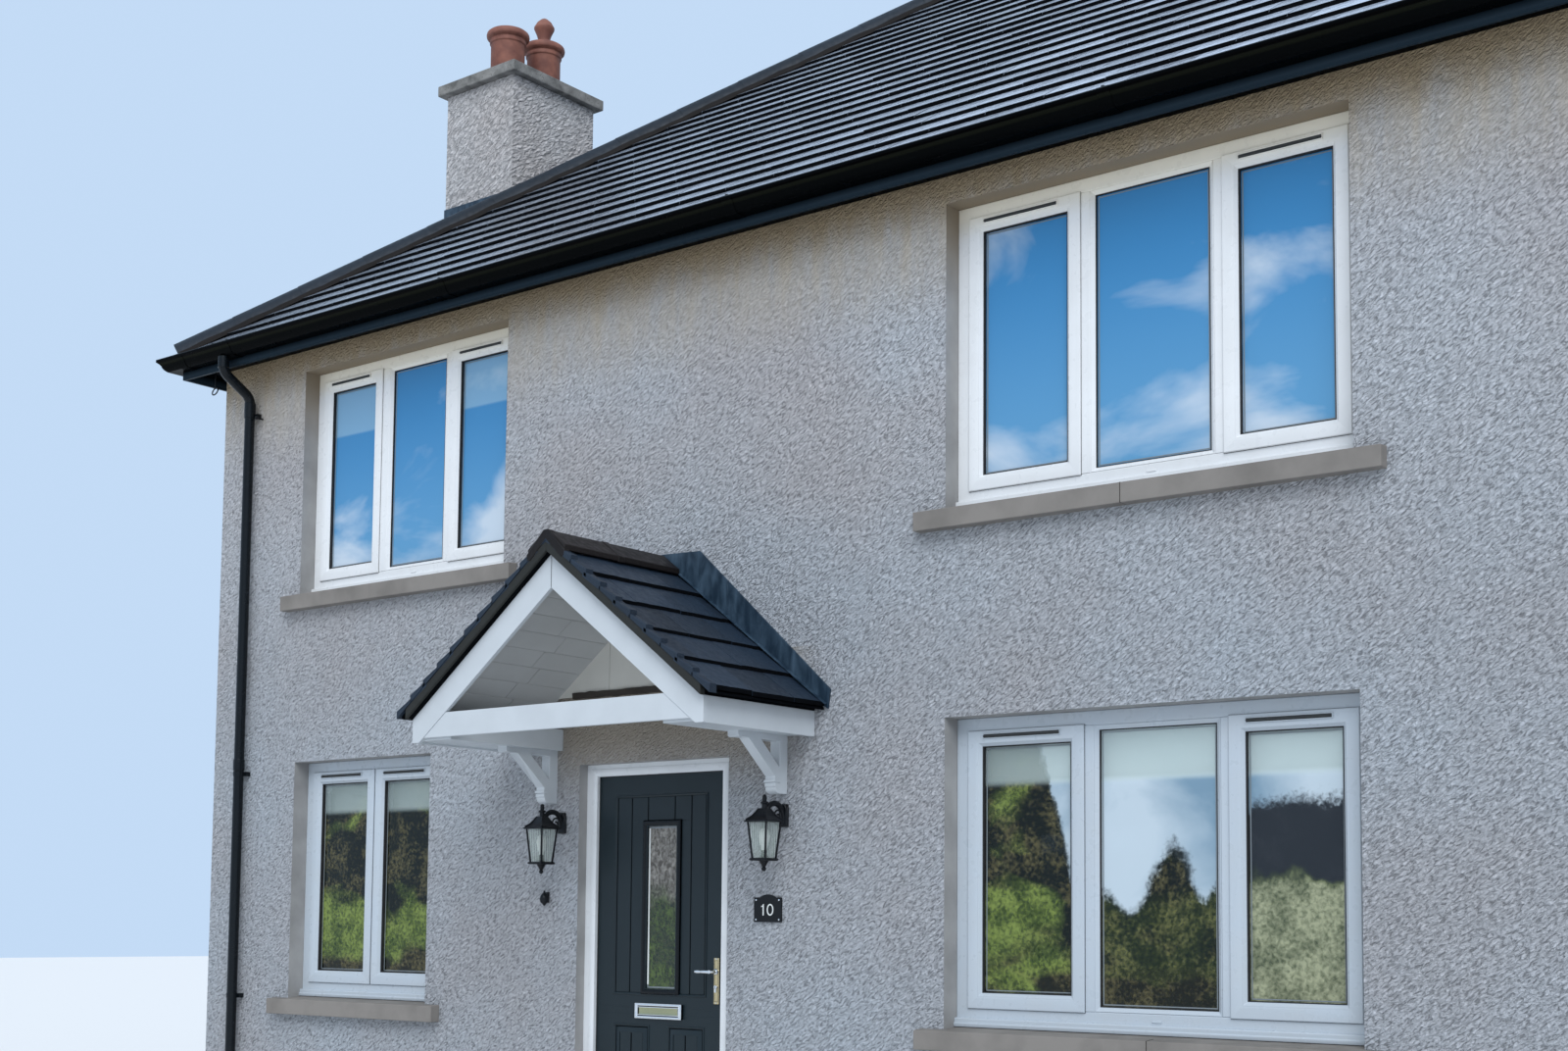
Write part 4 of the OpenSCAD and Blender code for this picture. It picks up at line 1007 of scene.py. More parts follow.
def make_canopy_slates():
    """Six courses of slates a side, a black bed under them as painted shade, and a verge strip at the front.
    """
    bed, verge = Shape(), Shape()
    for side, name in ((1, "canopy_slates_right"), (-1, "canopy_slates_left")):
        shape = Shape(canopy_place(side))
        bed.place = verge.place = shape.place
        flat_bar(bed, 0.0, 0.947, -0.818, 0.0, -0.082, -0.028)
        flat_bar(bed, 0.94, 1.002, -0.818, 0.0, -0.040, -0.028)
        flat_bar(verge, 0.0, 0.960, -0.834, -0.797, -0.078, -0.024)
        for course in range(CANOPY_COURSES):
            foot = CANOPY_EAVE - 0.001 - course * CANOPY_RUN
            verge_caps(shape, foot)
            y, width = CANOPY_FRONT, 0.150 if course % 2 else 0.300
            while y < CANOPY_BACK:
                end = min(y + width, CANOPY_BACK)
                canopy_slate(shape, foot, max(foot - CANOPY_RUN - 0.02, 0.0), y, end)
                y, width = end, 0.300
        piece(name, shape, CANOPY_SLATE, smooth=10, edge=PAINTED_SHADE_BLACK)
    piece("canopy_slate_bed", bed, PAINTED_SHADE_BLACK, replaces=("canopy_slates",))
    piece("canopy_verge", verge, VERGE, bevel=0.005)


def make_canopy_ridge():
    """Angular ridge in two lengths, with a raised band at their joint and a hood at the front."""
    shape = Shape(canopy_place())
    reach = 0.112
    for y0, y1, grow, drop in ((-0.832, -0.450, 0.0, 0.0), (-0.450, -0.030, 0.0, 0.0),
                               (-0.472, -0.428, 0.0035, 0.004), (-0.838, -0.800, 0.0035, 0.030)):
        low = canopy_z(reach) - drop
        foot, shoulder, top = reach + 0.008 + grow, reach + 0.010 + grow, CANOPY_APEX + 0.020 + grow
        outer = [(-foot, low), (-shoulder, low + 0.026 + grow), (-0.014, top), (0.014, top),
                 (shoulder, low + 0.026 + grow), (foot, low)]
        inner = [(reach - 0.012, low), (0.0, CANOPY_APEX - drop + 0.006), (-reach + 0.012, low)]
        shape.tone = random.uniform(0.3, 0.7)
        shape.plate(outer + inner, y0, y1)
    piece("canopy_ridge_tiles", shape, RIDGE_PLASTIC, bevel=0.004, replaces=("canopy_ridge",))


LEAD_KINK = 0.232
LEAD_LENGTHS, LEAD_STEP = 10, 0.103


def lead_rise(dx):
    """Top edge of the lead on the wall above the canopy."""
    return 3.278 - 0.0345 * dx if dx < LEAD_KINK else 3.270 - 0.9068 * (dx - LEAD_KINK)


def make_canopy_lead():
    """Lapped lengths of lead up the wall, with a strip dressed over the slates."""
    upstand, strip = Shape(), Shape()
    for side in (1, -1):
        upstand.place = strip.place = canopy_place(side)
        for i in range(LEAD_LENGTHS):
            dx0, dx1 = i * LEAD_STEP, min((i + 1) * LEAD_STEP + 0.004, 1.030)
            corners = [dx0, LEAD_KINK, dx1] if dx0 < LEAD_KINK < dx1 else [dx0, dx1]
            if i == LEAD_LENGTHS - 1:
                corners[-1] += 0.014
            outline = [(dx, canopy_z(dx) - 0.015) for dx in (dx0, dx1)]
            outline += [(dx, max(lead_rise(dx), canopy_z(dx) + 0.004)) for dx in corners[::-1]]
            upstand.plate(outline, -0.0095 - (0.0012 if i % 2 else 0.0), 0.0)
            down_slope(strip, dx0, dx1 - 0.003, ((-0.036, 0.0045), (-0.009, 0.0045), (-0.009, 0.0085),
                                                 (-0.034, 0.0075), (-0.036, 0.0060)))
    piece("canopy_lead_upstand", upstand, LEAD, bevel=0.0008, replaces=("canopy_flashing",))
    piece("canopy_lead_strip", strip, LEAD)


LINING_APEX = 3.153
LINING_BOARD = 0.093
GABLE_LOW, GABLE_JOINT = 2.600, -0.356


def make_canopy_boards():
    """Lining boards, the panels of the gable, a dark strip of painted shadow in the barge boards' joint, and
    the rough edge of render under them.
    """
    boards, gable, joints, rough = (Shape(canopy_place()) for _ in range(4))
    for side in (1, -1):
        boards.place = canopy_place(side)
        flat_bar(boards, 0.0, 0.925, -0.771, -0.001, -0.090, -0.084)
        for i in range(10):
            a, b = 0.012 + i * LINING_BOARD, min(0.012 + (i + 1) * LINING_BOARD - 0.003, 0.925)
            outline = ((a, 0.002), (b, 0.002), (b, -0.002), (b - 0.002, -0.0035), (a + 0.002, -0.0035),
                       (a, -0.002))
            butt = -0.300 - 0.06 * (i % 2)
            for ends in ((-0.770, butt - 0.0015), (butt + 0.0015, -0.014)):
                boards.loft([[(dx, y, LINING_APEX - slope * dx + h) for dx, h in outline] for y in ends])
    half = (LINING_APEX - GABLE_LOW) / slope
    cut, left = GABLE_JOINT, GABLE_JOINT - 0.003
    gable.plate([(cut, GABLE_LOW), (half, GABLE_LOW), (0.0, LINING_APEX), (cut, LINING_APEX + slope * cut)],
                -0.0155, -0.001)
    gable.plate([(left, GABLE_LOW), (-half, GABLE_LOW), (left, LINING_APEX + slope * left)], -0.0155, -0.001)
    piece("canopy_boards", boards, LINING_WHITE_PAINTED_SHADE, bevel=0.0004, replaces=("canopy_lining",))
    piece("gable_boards", gable, GABLE_WHITE, bevel=0.0004)
    # Dark strip in the barge boards' joint at the apex: painted shadow of the gap.
    joints.box((-0.0015, -0.7945, 3.003), (0.0015, -0.775, 3.150))
    piece("barge_joint_shadow", joints, RUBBER_AND_PAINTED_SHADOW)
    rings = []
    for i in range(32):
        low, high, out = (random.uniform(0, r) for r in (0.006, 0.006, 0.008))
        outline = ((0.0, 2.586 + low), (-0.018 - out, 2.586 + low), (-0.022 - out, 2.624 - high),
                   (0.0, 2.624))
        rings.append([(-0.610 + i * 0.0415, y, z) for y, z in outline])
    rough.loft(rings)
    piece("gable_foot", rough, GABLE_FOOT)


def make_bracket_feet():
    """Rounded mouldings on the feet and the noses of the brackets, and a block on each foot."""
    feet = Shape()
    near, far = 0.730, 0.788
    round_nose = [(-0.062 - 0.028 * math.sin(a), 2.082 - 0.028 * math.cos(a)) for a in turns(32)[:9]]
    mouldings = (
        (0.002, [(-0.060, 2.052), *round_nose, (-0.096, 2.088), (-0.096, 2.104), (-0.060, 2.104)]),
        (0.004, [(-0.060, 2.106), (-0.100, 2.106), (-0.100, 2.118), (-0.060, 2.118)]),
        (0.003, [(-0.366, 2.3018), (-0.3675, 2.330), (-0.300, 2.330), (-0.300, 2.301), (-0.350, 2.297)]),
    )
    for side in (1, -1):
        feet.place = canopy_place(side)
        for past, outline in mouldings:
            feet.bar(outline, near - past, far + past)
    piece("bracket_mouldings", feet, BOARD_WHITE_PAINTED_SHADE, bevel=0.002)


# Front door, which turns. The rectangles are (x0, x1, z0, z1).

LEAF_FACE = 0.083
LEAF_MID = -0.705
FIELD = (LEAF_MID - 0.307, LEAF_MID + 0.307, 1.090, 2.085)
FIELD_EDGES = (FIELD[0] + 0.010, LEAF_MID - 0.200, LEAF_MID - 0.090, LEAF_MID + 0.090, LEAF_MID + 0.200,
               FIELD[1] - 0.010)
STRIP = (-0.695 - 0.098, -0.695 + 0.098, 1.120, 1.930)
GLAZED = grown(STRIP, 0.028)
PANELS = [(x - 0.118, x + 0.118, 0.330, 0.938) for x in (LEAF_MID - 0.180, LEAF_MID + 0.180)]


def door_board(boards, a, b, low, high, y=LEAF_FACE + 0.0022):
    """An upright board with bevelled edges."""
    outline = ((a + 0.0028, y + 0.005), (a + 0.0028, y + 0.0025), (a + 0.0055, y), (b - 0.0055, y),
               (b - 0.0028, y + 0.0025), (b - 0.0028, y + 0.005))
    boards.loft([[(x, d, z) for x, d in outline] for z in (low, high)])


def make_door():
    """Boards, mouldings and the glass cassette on the leaf, with painted shadow lines between them."""
    boards, moulds, cassette, spacer, bead, lines, gasket = front_shapes(7)
    y = LEAF_FACE
    low, high = FIELD[2] + 0.010, FIELD[3] - 0.010
    for a, b in zip(FIELD_EDGES, FIELD_EDGES[1:]):
        if b < GLAZED[0] or a > GLAZED[1]:
            door_board(boards, a, b, low, high)
            continue
        door_board(boards, a, b, GLAZED[3] - 0.002, high)
        if a < GLAZED[0]:
            door_board(boards, a, GLAZED[0] + 0.006, low, GLAZED[3] - 0.003)
        if b > GLAZED[1]:
            door_board(boards, GLAZED[1] - 0.006, b, low, GLAZED[3] - 0.003)
    moulds.frame(FIELD, behind(y, (-0.004, 0.001), (-0.003, -0.0035), (0.001, -0.0045), (0.006, -0.002),
                               (0.009, 0.003), (0.012, 0.0045), (-0.004, 0.0045)))
    cassette.frame(GLAZED, behind(y, (0, 0.005), (0, -0.006), (0.004, -0.0105), (0.011, -0.012),
                                  (0.018, -0.010), (0.024, -0.004), (0.0275, 0.006), (0.0275, 0.011),
                                  (0.012, 0.011)))
    for panel in PANELS:
        x = (panel[0] + panel[1]) / 2
        moulds.frame(panel, behind(y, (-0.004, 0.001), (-0.003, -0.003), (0.001, -0.004), (0.006, -0.001),
                                   (0.010, 0.0045), (-0.004, 0.0045)))
        moulds.frame(panel, behind(y, (0.010, 0.005), (0.034, -0.003), (0.040, -0.003), (0.040, 0.005)))
        for a, b in ((x - 0.078, x - 0.001), (x + 0.001, x + 0.078)):
            door_board(boards, a, b, panel[2] + 0.040, panel[3] - 0.040, y - 0.003)
    spacer.band(STRIP, 0.003, 0.011, y + 0.0085, y + 0.0115)
    bead.box((STRIP[0] + 0.004, y + 0.0065, STRIP[2] + 0.02), (STRIP[0] + 0.013, y + 0.0085, STRIP[3] - 0.01))
    door_painted_shadow_lines(lines)
    gasket.frame((-1.131, -0.279, 0.178, 2.194), behind(y, (0.0, 0.001), (0.0, -0.004), (0.004, -0.0045),
                                                        (0.008, 0.001)))
    piece("door_boards", boards, DOOR_PAINT, "door", bevel=0.0005)
    piece("door_mouldings", moulds, DOOR_PAINT, "door", bevel=0.0008)
    piece("door_cassette", cassette, DARK_PLASTIC, "door", bevel=0.001)
    piece("door_glass_spacer", spacer, SEAL, "door")
    piece("door_glass_bead", bead, PALE_PAINT, "door")
    piece("door_shadow_lines", lines, PAINTED_SHADE_BLACK, "door")
    piece("door_gasket", gasket, RUBBER_AND_PAINTED_SHADOW, "door")


def door_painted_shadow_lines(lines):
    """Painted shadow lines: dark strips in the joints of the boards, round the glass and inside the panels.
    """
    y, near = LEAF_FACE, LEAF_FACE + 0.0030
    for x in FIELD_EDGES[1:-1]:
        low = GLAZED[3] if GLAZED[0] < x < GLAZED[1] else FIELD[2] + 0.012
        lines.box((x - 0.0015, near, low), (x + 0.0015, y + 0.0045, FIELD[3] - 0.012))
    for x in (FIELD_EDGES[0], FIELD_EDGES[-1]):
        lines.box((x - 0.0030, near, FIELD[2] + 0.008), (x + 0.0030, y + 0.0046, FIELD[3] - 0.008))
    for z in (FIELD[2] + 0.009, FIELD[3] - 0.009):
        lines.box((FIELD[0] + 0.008, near, z - 0.0030), (FIELD[1] - 0.008, y + 0.0046, z + 0.0030))
    lines.band(GLAZED, -0.0030, 0.001, y + 0.0016, y + 0.0046)
    for panel in PANELS:
        x = (panel[0] + panel[1]) / 2
        lines.band(panel, 0.0075, 0.0125, near, y + 0.0048)
        lines.box((x - 0.0030, y - 0.0005, panel[2] + 0.042), (x + 0.0030, y + 0.003, panel[3] - 0.042))


def make_letter_plate():
    """Raised rim and rolled border of the letter plate, a dark strip of painted shadow inside it, and the
    flap's raised edge.
    """
    rim, shadow, flap = front_shapes(3)
    plate = (-0.696, 1.010)
    y, face = LEAF_FACE - 0.016, LEAF_FACE - 0.013
    border = behind(y, (0.0, 0.004), (0.003, -0.001), (0.007, -0.0025), (0.011, -0.001), (0.0125, 0.002),
                    (0.015, 0.002), (0.017, -0.001), (0.0198, -0.001), (0.0198, 0.003))
    rim.frame(about(*plate, 0.154, 0.037), [(0.0, LEAF_FACE), *border, (0.010, LEAF_FACE)])
    # Painted shadow inside the rim.
    shadow.band(about(*plate, 0.1345, 0.0255), 0, 0.0035, y - 0.0006, y + 0.0045)
    flap.frame(about(*plate, 0.126, 0.019), behind(face, (0, 0.0005), (0.002, -0.0014), (0.006, -0.0014),
                                                   (0.009, 0.0005)))
    piece("letter_plate_rim", rim, CHROME, "door", bevel=0.0005)
    piece("letter_plate_shadow", shadow, RUBBER_AND_PAINTED_SHADOW, "door")
    piece("letter_flap_rim", flap, FLAP_METAL, "flap")


def make_handle():
    """Rose, lock cylinder, keyway and screws on the outer plate, dark strips of painted shadow in the keyway
    and round the plate, and the lever's curved grip.
    """
    trim, dark, grip = front_shapes(3)
    x, z, y = -0.324, 1.213, LEAF_FACE - 0.008

    def disc(height, radius, depth):
        trim.button([(radius, y), (radius, y - depth * 0.6), (radius * 0.8, y - depth)], (x, height), 24)

    disc(z, 0.0145, 0.010)
    disc(z - 0.074, 0.0105, 0.009)
    trim.box((x - 0.0055, y - 0.009, z - 0.100), (x + 0.0055, y, z - 0.080))
    # Painted shadow: the keyway and dark lines round the plate.
    dark.box((x - 0.0012, y - 0.0096, z - 0.079), (x + 0.0012, y - 0.008, z - 0.069))
    dark.band((x - 0.0172, x + 0.0172, 1.0568, 1.2802), -0.0005, 0.0005, y + 0.006, y + 0.008)
    dark.band((x - 0.012, x + 0.012, 1.068, 1.268), 0, 0.0016, y - 0.0004, y + 0.0005)
    for screw_z in (1.062, 1.275):
        disc(screw_z, 0.0035, 0.0015)
    near = LEAF_FACE - 0.055
    grip.tube([(x - 0.006, near, z), (x - 0.03, near + 0.001, z), (x - 0.06, near + 0.0015, z),
               (x - 0.085, near, z), (x - 0.094, near, z)], [0.0098, 0.0088, 0.0086, 0.0095, 0.0065], 18)
    piece("door_lock_trim", trim, CHROME, "door", bevel=0.0006)
    piece("door_lock_shadow_lines", dark, RUBBER_AND_PAINTED_SHADOW, "door")
    piece("lever_grip", grip, CHROME, "handle")


def make_door_frame():
    """Stepped inner edge of the door frame and a ribbed threshold."""
    lip, sill = front_shapes(2)
    left, right, foot, head = -1.126, -0.284, 0.151, 2.190
    jamb = behind(0.060, (-0.038, 0.001), (-0.038, -0.0025), (-0.034, -0.004), (-0.014, -0.004),
                  (-0.006, -0.002), (-0.0003, 0.006), (-0.0003, 0.010), (-0.02, 0.010))
    lip.loft([[(x + sx * inset, y, head - inset if up else foot) for inset, y in jamb]
              for x, sx, up in ((left, 1, False), (left, 1, True), (right, -1, True), (right, -1, False))])
    piece("door_frame_edge", lip, WHITE_PLASTIC, bevel=0.0006)
    for y in (0.064 + i * 0.012 for i in range(4)):
        sill.bar([(y, 0.1745), (y, 0.1765), (y + 0.002, 0.178), (y + 0.005, 0.178), (y + 0.007, 0.1765),
                  (y + 0.007, 0.1745)], -1.124, -0.286)
    piece("threshold_ribs", sill, CHROME)


# Rainwater goods

GUTTER_OUT, GUTTER_TOP, GUTTER_H, GUTTER_LIP, GUTTER_FOOT = 0.306, 4.885, 0.076, 0.016, 0.052
FASCIA_OUT = 0.189
PIPE_X = -3.989
PIPE_R, PIPE_OUT, PIPE_BACK = 0.030, -0.250, -0.050
HOOK_X = -4.234


def gutter_band(out):
    """Section of a strap that fits round the gutter, from its lip to its back."""
    face = [(-GUTTER_OUT, GUTTER_TOP)]
    for t in (i / 8 for i in range(9)):
        swell = t + 0.55 * math.sin(2 * math.pi * t) / (2 * math.pi)
        face.append((-GUTTER_OUT + 0.0004 + GUTTER_FOOT * swell,
                     GUTTER_TOP - GUTTER_LIP - (GUTTER_H - GUTTER_LIP) * t))
    face.append((-FASCIA_OUT - 0.001, GUTTER_TOP - GUTTER_H))
    outer = []
    for (d, z), before, after in zip(face, face[:1] + face, face[1:] + face[-1:]):
        run = (Vector(after) - Vector(before)).normalized()
        outer.append((max(d + run.y * out, -GUTTER_OUT + 0.0002), z - abs(run.x) * out))
    return outer + [(d + 0.001, z + 0.001) for d, z in face[::-1]]


def make_gutter_straps():
    """Joint straps, angle pieces and the outlets on all four gutters, with clips over the lip."""
    straps = Shape()
    outline = gutter_band(0.003)
    for wall, half in (("front", half_w), ("rear", half_w), ("left", half_depth), ("right", half_depth)):
        straps.place = WALLS[wall]
        bands = [(x - 0.030, x + 0.030, (x,), 0.007) for x in (-half - 0.073, -2.02, 0.0, 2.02, half + 0.073)]
        if wall in ("front", "rear"):
            bands.append((PIPE_X - 0.057, PIPE_X + 0.104, (PIPE_X - 0.047, PIPE_X + 0.094), 0.006))
        for x0, x1, clips, half_clip in bands:
            straps.bar(outline, x0, x1)
            for x in clips:
                straps.box((x - half_clip, -GUTTER_OUT + 0.0005, GUTTER_TOP - 0.004),
                           (x + half_clip, -GUTTER_OUT + 0.016, GUTTER_TOP + 0.006))
    piece("gutter_straps", straps, GUTTER, bevel=0.0012)


def bent(points, turn=0.045, steps=6):
    """A path with its inner corners rounded."""
    points = [Vector(p) for p in points]
    path = points[:1]
    for before, corner, after in zip(points, points[1:], points[2:]):
        a = corner + (before - corner).normalized() * turn
        b = corner + (after - corner).normalized() * turn
        path += [a.lerp(corner, t).lerp(corner.lerp(b, t), t) for t in (k / steps for k in range(steps + 1))]
    return path + points[-1:]


def make_pipes():
    """Round downpipes with a swan neck, sockets, clips and a shoe, and the fixings near the front one."""
    pipes, metal = Shape(), Shape(WALLS["front"])
    x, back = PIPE_X, PIPE_BACK
    swell = [PIPE_R + 0.001, PIPE_R + 0.004, PIPE_R + 0.004, PIPE_R + 0.001]
    for wall in ("front", "rear"):
        pipes.place = WALLS[wall]
        pipes.tube(bent([(x, PIPE_OUT, 4.812), (x, PIPE_OUT, 4.722), (x, back, 4.600), (x, back, 0.150),
                         (x, back - 0.075, 0.078)]), PIPE_R, 28)
        for y, z0, z1 in ((PIPE_OUT, 4.742, 4.812), (back, 4.500, 4.570), (back, 2.330, 2.400),
                          (back, 0.150, 0.190)):
            pipes.tube([(x, y, z) for z in (z0, z0 + 0.003, z1 - 0.003, z1)], swell, 28)
        for z in (0.995, 2.312, 4.490):
            pipes.tube([(x, back, z - 0.013), (x, back, z + 0.013)], PIPE_R + 0.003, 28)
            for side in (-1, 1):
                ear = x + side * 0.037
                pipes.box((ear - 0.011, -0.030, z - 0.013), (ear + 0.011, -0.0005, z + 0.013))
    piece("round_downpipes", pipes, DARK_PLASTIC, bevel=0.001, replaces=("downpipes",))
    metal.tube([(-3.925, -0.001, 4.470), (-3.925, -0.030, 4.470), (-3.928, -0.042, 4.474)],
               [0.005, 0.005, 0.004], 10)
    metal.lathe([(0.0005, 4.462), (0.009, 4.464), (0.012, 4.472), (0.009, 4.480), (0.0005, 4.482)],
                (-3.928, -0.045), 16)
    metal.tube([(HOOK_X, -0.130, 4.8225), (HOOK_X, -0.130, 4.690)], 0.003, 8)
    metal.tube([(HOOK_X + 0.026 * math.cos(a), -0.130 + 0.008 * math.sin(a), 4.666 + 0.024 * math.sin(a))
                for a in turns(20) + [2 * math.pi]], 0.004, 8)
    piece("wall_fixings", metal, BLACK_METAL)


# Chimney

def make_chimney_top():
    """Mortar bedded round the feet of the pots."""
    mortar = Shape()
    pot_x, seat, pot_foot = -3.535, 7.019, 0.1125
    for depth in (1.585, 1.917):
        rings = []
        for a in turns(48):
            out = 0.165 + 0.010 * math.sin(3 * a + depth) + random.uniform(-0.004, 0.004)
            heap = ((pot_foot, 0.0), (out, 0.0), (out - 0.012, 0.012), (0.135, 0.034), (pot_foot, 0.046))
            rings.append([(pot_x + r * math.cos(a), front_y + depth + r * math.sin(a), seat + h)
                          for r, h in heap])
        mortar.loft(rings, closed=True)
    piece("pot_bedding", mortar, CONCRETE)


# Lanterns and number plate

LANTERN_XS = (-1.310, 0.148)
LANTERN_Y = -0.150


def make_lanterns():
    """Bulbs and holders, hip beads and rims, and a scroll under each arm."""
    bulbs, trim = Shape(), Shape()
    crook = [(0, 0.075 - 0.064 * math.cos(a), 1.942 + 0.066 * math.sin(a)) for a in turns(40)[:21]]
    crook.append((0, 0.139, 1.925))
    scroll = [(0, 0.098 + r * math.cos(a), 1.948 + r * math.sin(a))
              for a, r in ((0.35 * k, 0.034 - 0.0011 * k) for k in range(24))]
    wall_plate = ((1, 1.900, 1), (1, 1.990, -1), (0.62, 2.008, -1), (-0.62, 2.008, -1), (-1, 1.990, -1),
                  (-1, 1.900, 1))
    for x in LANTERN_XS:
        trim.place = bulbs.place = Matrix.Translation((x, front_y + LANTERN_Y, 0))
        bulbs.lathe([(0.0005, 1.889), (0.013, 1.887), (0.022, 1.874), (0.0265, 1.852), (0.023, 1.826),
                     (0.015, 1.800), (0.0125, 1.786), (0.0005, 1.786)], (0, 0), 24)
        trim.lathe([(0.0005, 1.786), (0.0145, 1.786), (0.0145, 1.762), (0.019, 1.758), (0.019, 1.752),
                    (0.0005, 1.752)], (0, 0), 20)
        for sx in (-1, 1):
            for sy in (-1, 1):
                hip = ((0.062, 1.9275), (0.0405, 1.9465), (0.029, 1.964), (0.019, 1.981))
                trim.tube([(sx * r, sy * r, z) for r, z in hip], [0.0036, 0.0034, 0.0032, 0.003], 8)
        for half, z in ((0.0655, 1.9215), (0.0475, 1.7445)):
            corners = ((half, half), (-half, half), (-half, -half), (half, -half), (half, half - 0.001))
            trim.tube([(*corner, z) for corner in corners], 0.0032, 8)
        trim.tube(crook, [0.010 + 0.0035 * math.sin(math.pi * k / 21) for k in range(22)], 14)
        trim.tube(scroll, 0.0045, 8)
        trim.loft([[(sx * (0.026 - inset), y, z + sz * inset) for sx, z, sz in wall_plate]
                   for y, inset in ((0.1495, 0.0), (0.140, 0.0), (0.134, 0.006))])
        trim.tube([(0, 0, 2.030), (0, 0, 2.037), (0, 0, 2.045)], [0.009, 0.0105, 0.004], 16)
    piece("lantern_bulbs", bulbs, PALE_PAINT)
    piece("lantern_trim", trim, BLACK_METAL)


def make_number_plate():
    """A plain 10 with four screws, and the small knob on the wall left of the door."""
    digits, screws, knob = front_shapes(3)
    y0, y1 = -0.0108, -0.0085
    nought = (0.0745, 1.513)
    digits.plate([(0.0300, 1.486), (0.0360, 1.486), (0.0360, 1.540), (0.0320, 1.540), (0.0305, 1.5345),
                  (0.0215, 1.5300), (0.0215, 1.5250), (0.0300, 1.5285)], y0, y1)
    digits.loft([[(p[0], y1, p[1]), (p[0], y0, p[1]), (q[0], y0, q[1]), (q[0], y1, q[1])]
                 for p, q in zip(circle(0.0195, 40, nought, 0.0272), circle(0.0138, 40, nought, 0.0215))],
                closed=True)
    piece("plate_numerals", digits, PALE_PAINT, bevel=0.0004)
    for centre in ((-0.011, 1.559), (0.127, 1.559), (-0.011, 1.467), (0.127, 1.467)):
        screws.button([(0.0045, -0.0085), (0.0042, -0.0105), (0.0022, -0.0118)], centre, 16)
    piece("plate_screws", screws, CHROME)
    knob.lathe([(0.0005, 1.608), (0.005, 1.606), (0.006, 1.596), (0.014, 1.590), (0.021, 1.578),
                (0.024, 1.562), (0.020, 1.547), (0.011, 1.540), (0.006, 1.532), (0.0005, 1.529)],
               (-1.409, -0.026), 24)
    knob.box((-1.421, -0.006, 1.545), (-1.397, -0.0005, 1.600))
    piece("wall_knob", knob, BLACK_METAL, bevel=0.001)


# Sills and blinds

def make_sill_joints():
    """Hairline mortar joints across the longest sills."""
    joints = Shape(WALLS["front"])
    for x, seat in ((1.960, 3.305), (2.070, 1.003)):
        joints.bar([(-0.0625, seat - 0.100), (-0.0625, seat - 0.0135), (-0.055, seat - 0.0125),
                    (0.0, seat - 0.0075), (0.0, seat - 0.100)], x - 0.0015, x + 0.0015)
    piece("sill_joints", joints, MORTAR)


def cloth(name, x0, x1, low, high, depth, waves, swing):
    """One hanging sheet behind a window, with soft upright folds."""
    steps, rows = max(8, int(waves * 12)), 14
    verts = []
    for r in range(rows + 1):
        for t in (i / steps for i in range(steps + 1)):
            sway = swing * math.sin(2 * math.pi * waves * t) * (1.0 - 0.35 * r / rows)
            verts.append((x0 + (x1 - x0) * t, depth + sway, low + (high - low) * r / rows))
    corners = (r * (steps + 1) + i for r in range(rows) for i in range(steps))
    shape = Shape(WALLS["front"])
    shape.add(verts, [[a, a + 1, a + steps + 2, a + steps + 1] for a in corners])
    obj = piece(name, shape, CLOTH, smooth=60)


def make_blinds():
    """Blinds partly let down in the lower windows and the upper left one, with their tubes, and two
    drawn curtains at the left of the lower windows."""
    tubes = Shape(WALLS["front"])
    spans = (("blind_lower_right", 1.10, 2.93, 2.075, 2.345),
             ("blind_lower_left", -3.47, -2.38, 2.095, 2.345),
             ("blind_upper_left_a", -3.43, -2.96, 4.30, 4.665),
             ("blind_upper_left_b", -2.33, -1.86, 4.30, 4.665))
    for name, x0, x1, low, high in spans:
        cloth(name, x0, x1, low, high, 0.215, 0, 0.0)
        tubes.tube([(x, 0.232, high + 0.002) for x in (x0 - 0.01, (x0 + x1) / 2, x1 + 0.01)], 0.016, 16)
        tubes.box((x0 - 0.004, 0.209, low - 0.022), (x1 + 0.004, 0.221, low + 0.002))
    piece("blind_tubes", tubes, PALE_PAINT, bevel=0.002)
    for name, x0, x1 in (("curtain_lower_right", 1.125, 1.235), ("curtain_lower_left", -3.445, -3.375)):
        cloth(name, x0, x1, 1.06, 2.34, 0.262, 4, 0.016)


# Camera and stage

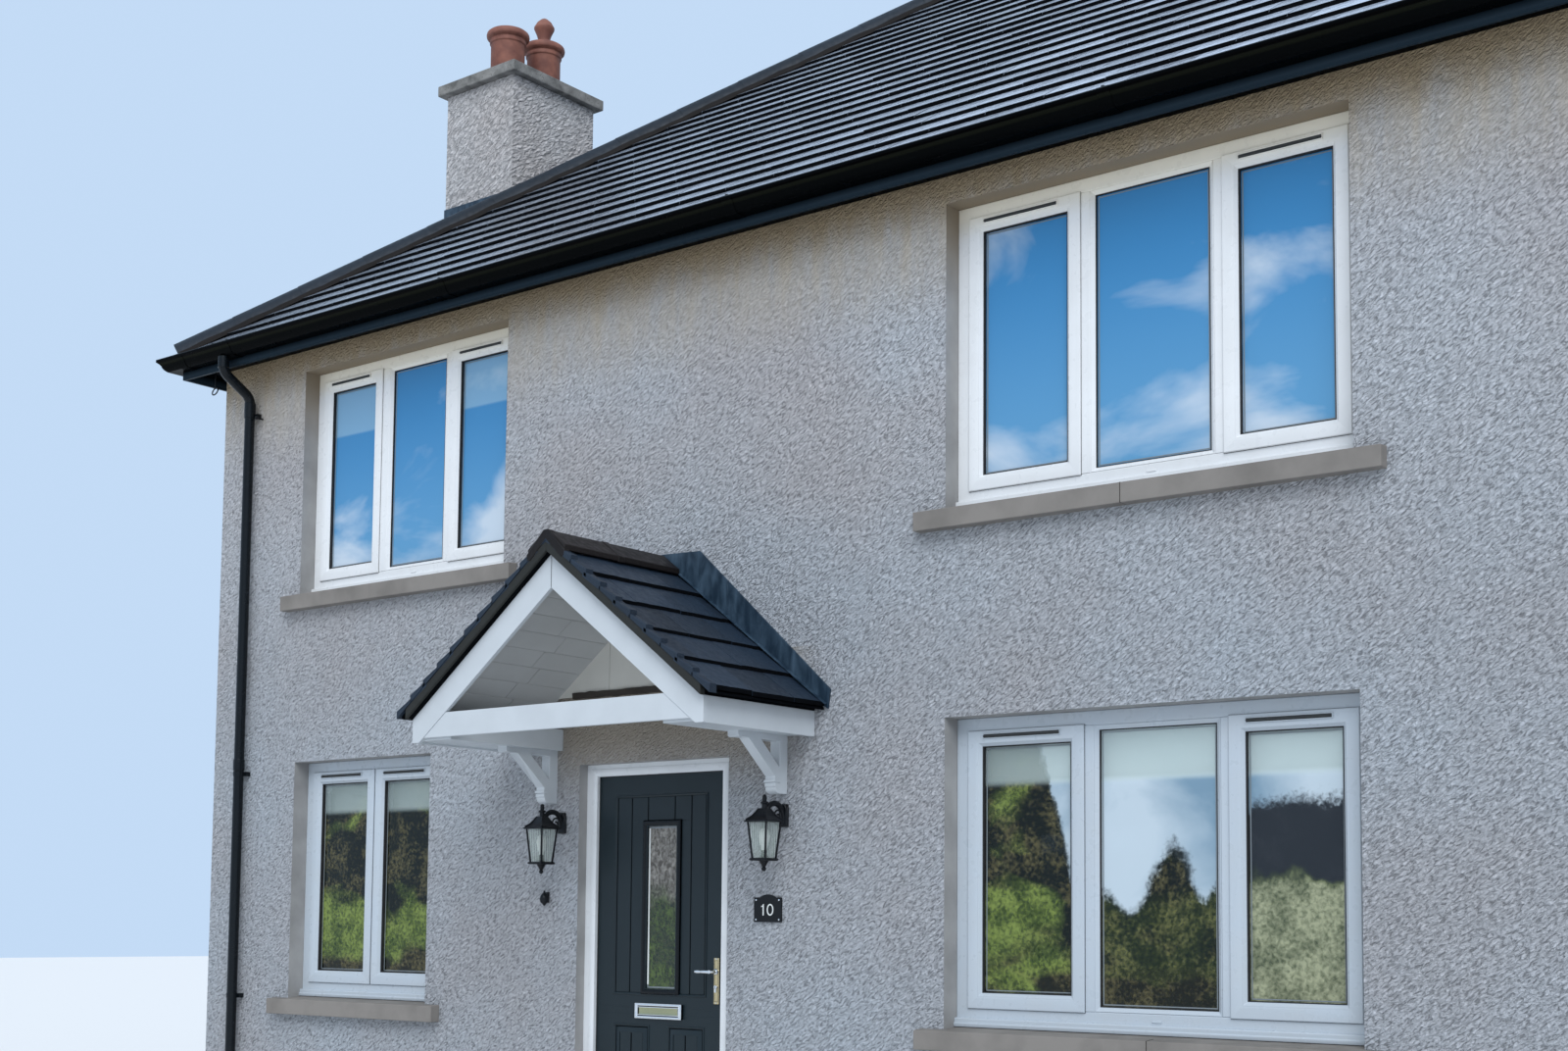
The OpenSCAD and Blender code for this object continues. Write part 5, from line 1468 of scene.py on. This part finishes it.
def make_camera():
    """The photo's viewpoint, as fitted to the straight edges of the house."""
    yaw, pitch, roll = 0.6698, 0.0786, 0.0094
    forward = Vector((-math.sin(yaw) * math.cos(pitch), math.cos(yaw) * math.cos(pitch), math.sin(pitch)))
    right = Vector((math.cos(yaw), math.sin(yaw), 0))
    up = right.cross(forward)
    across = right * math.cos(roll) + up * math.sin(roll)
    upwards = up * math.cos(roll) - right * math.sin(roll)
    data = bpy.data.cameras.new("view")
    data.sensor_width, data.lens = 36, 45.355
    data.shift_x, data.shift_y = -0.0025, 0.1551
    data.clip_end = 200
    camera = bpy.data.objects.new("view", data)
    turn = Matrix((across, upwards, -forward)).transposed().to_4x4()
    camera.matrix_world = Matrix.Translation((5.9117, -10.6896, 1.445)) @ turn
    bpy.context.scene.collection.objects.link(camera)
    bpy.context.scene.camera = camera


def make_stage():
    """Pale floor, an even pale background and soft light."""
    mesh = bpy.data.meshes.new("floor")
    size = 60
    mesh.from_pydata([(x * size, y * size, 0) for x, y in ((-1, -1), (1, -1), (1, 1), (-1, 1))], [],
                     [(0, 1, 2, 3)])
    floor = bpy.data.objects.new("floor", mesh)
    bpy.context.scene.collection.objects.link(floor)
    mesh.materials.append(Finish("floor", (0.78, 0.79, 0.80), 0.9).material)

    # The backdrop shows to the camera, in reflections and through glass. The light is paler.
    world = bpy.data.worlds.new("studio")
    bpy.context.scene.world = world
    world.use_nodes = True
    nodes = Nodes(world.node_tree)
    nodes.tree.nodes.clear()
    ray = nodes.node("LightPath").outputs
    seen = nodes.maths("MAXIMUM", ray["Is Camera Ray"], ray["Is Glossy Ray"])
    seen = nodes.maths("MAXIMUM", seen, ray["Is Transmission Ray"])
    light = nodes.node("Background", {0: (0.80, 0.89, 1.0, 1), 1: 0.80}).outputs[0]
    backdrop = nodes.node("Background", {0: (0.55, 0.71, 0.92, 1), 1: 1.0}).outputs[0]
    nodes.node("OutputWorld", {0: nodes.node("MixShader", {0: seen, 1: light, 2: backdrop}).outputs[0]})

    sun = bpy.data.lights.new("sun", "SUN")
    sun.energy, sun.angle, sun.color = 2.0, math.radians(40), (0.92, 0.96, 1.0)
    lamp = bpy.data.objects.new("sun", sun)
    lamp.rotation_euler = Vector((0.46, -0.58, 0.67)).to_track_quat("Z", "Y").to_euler()
    bpy.context.scene.collection.objects.link(lamp)


make_camera()
make_stage()
dress_cad()
make_roof()
make_windows()
make_canopy_slates()
make_canopy_ridge()
make_canopy_lead()
make_canopy_boards()
make_door()
make_letter_plate()
make_handle()
make_door_frame()
make_gutter_straps()
make_pipes()
make_bracket_feet()
make_chimney_top()
make_lanterns()
make_number_plate()
make_sill_joints()
make_blinds()
bpy.context.scene.view_settings.view_transform = "Standard"
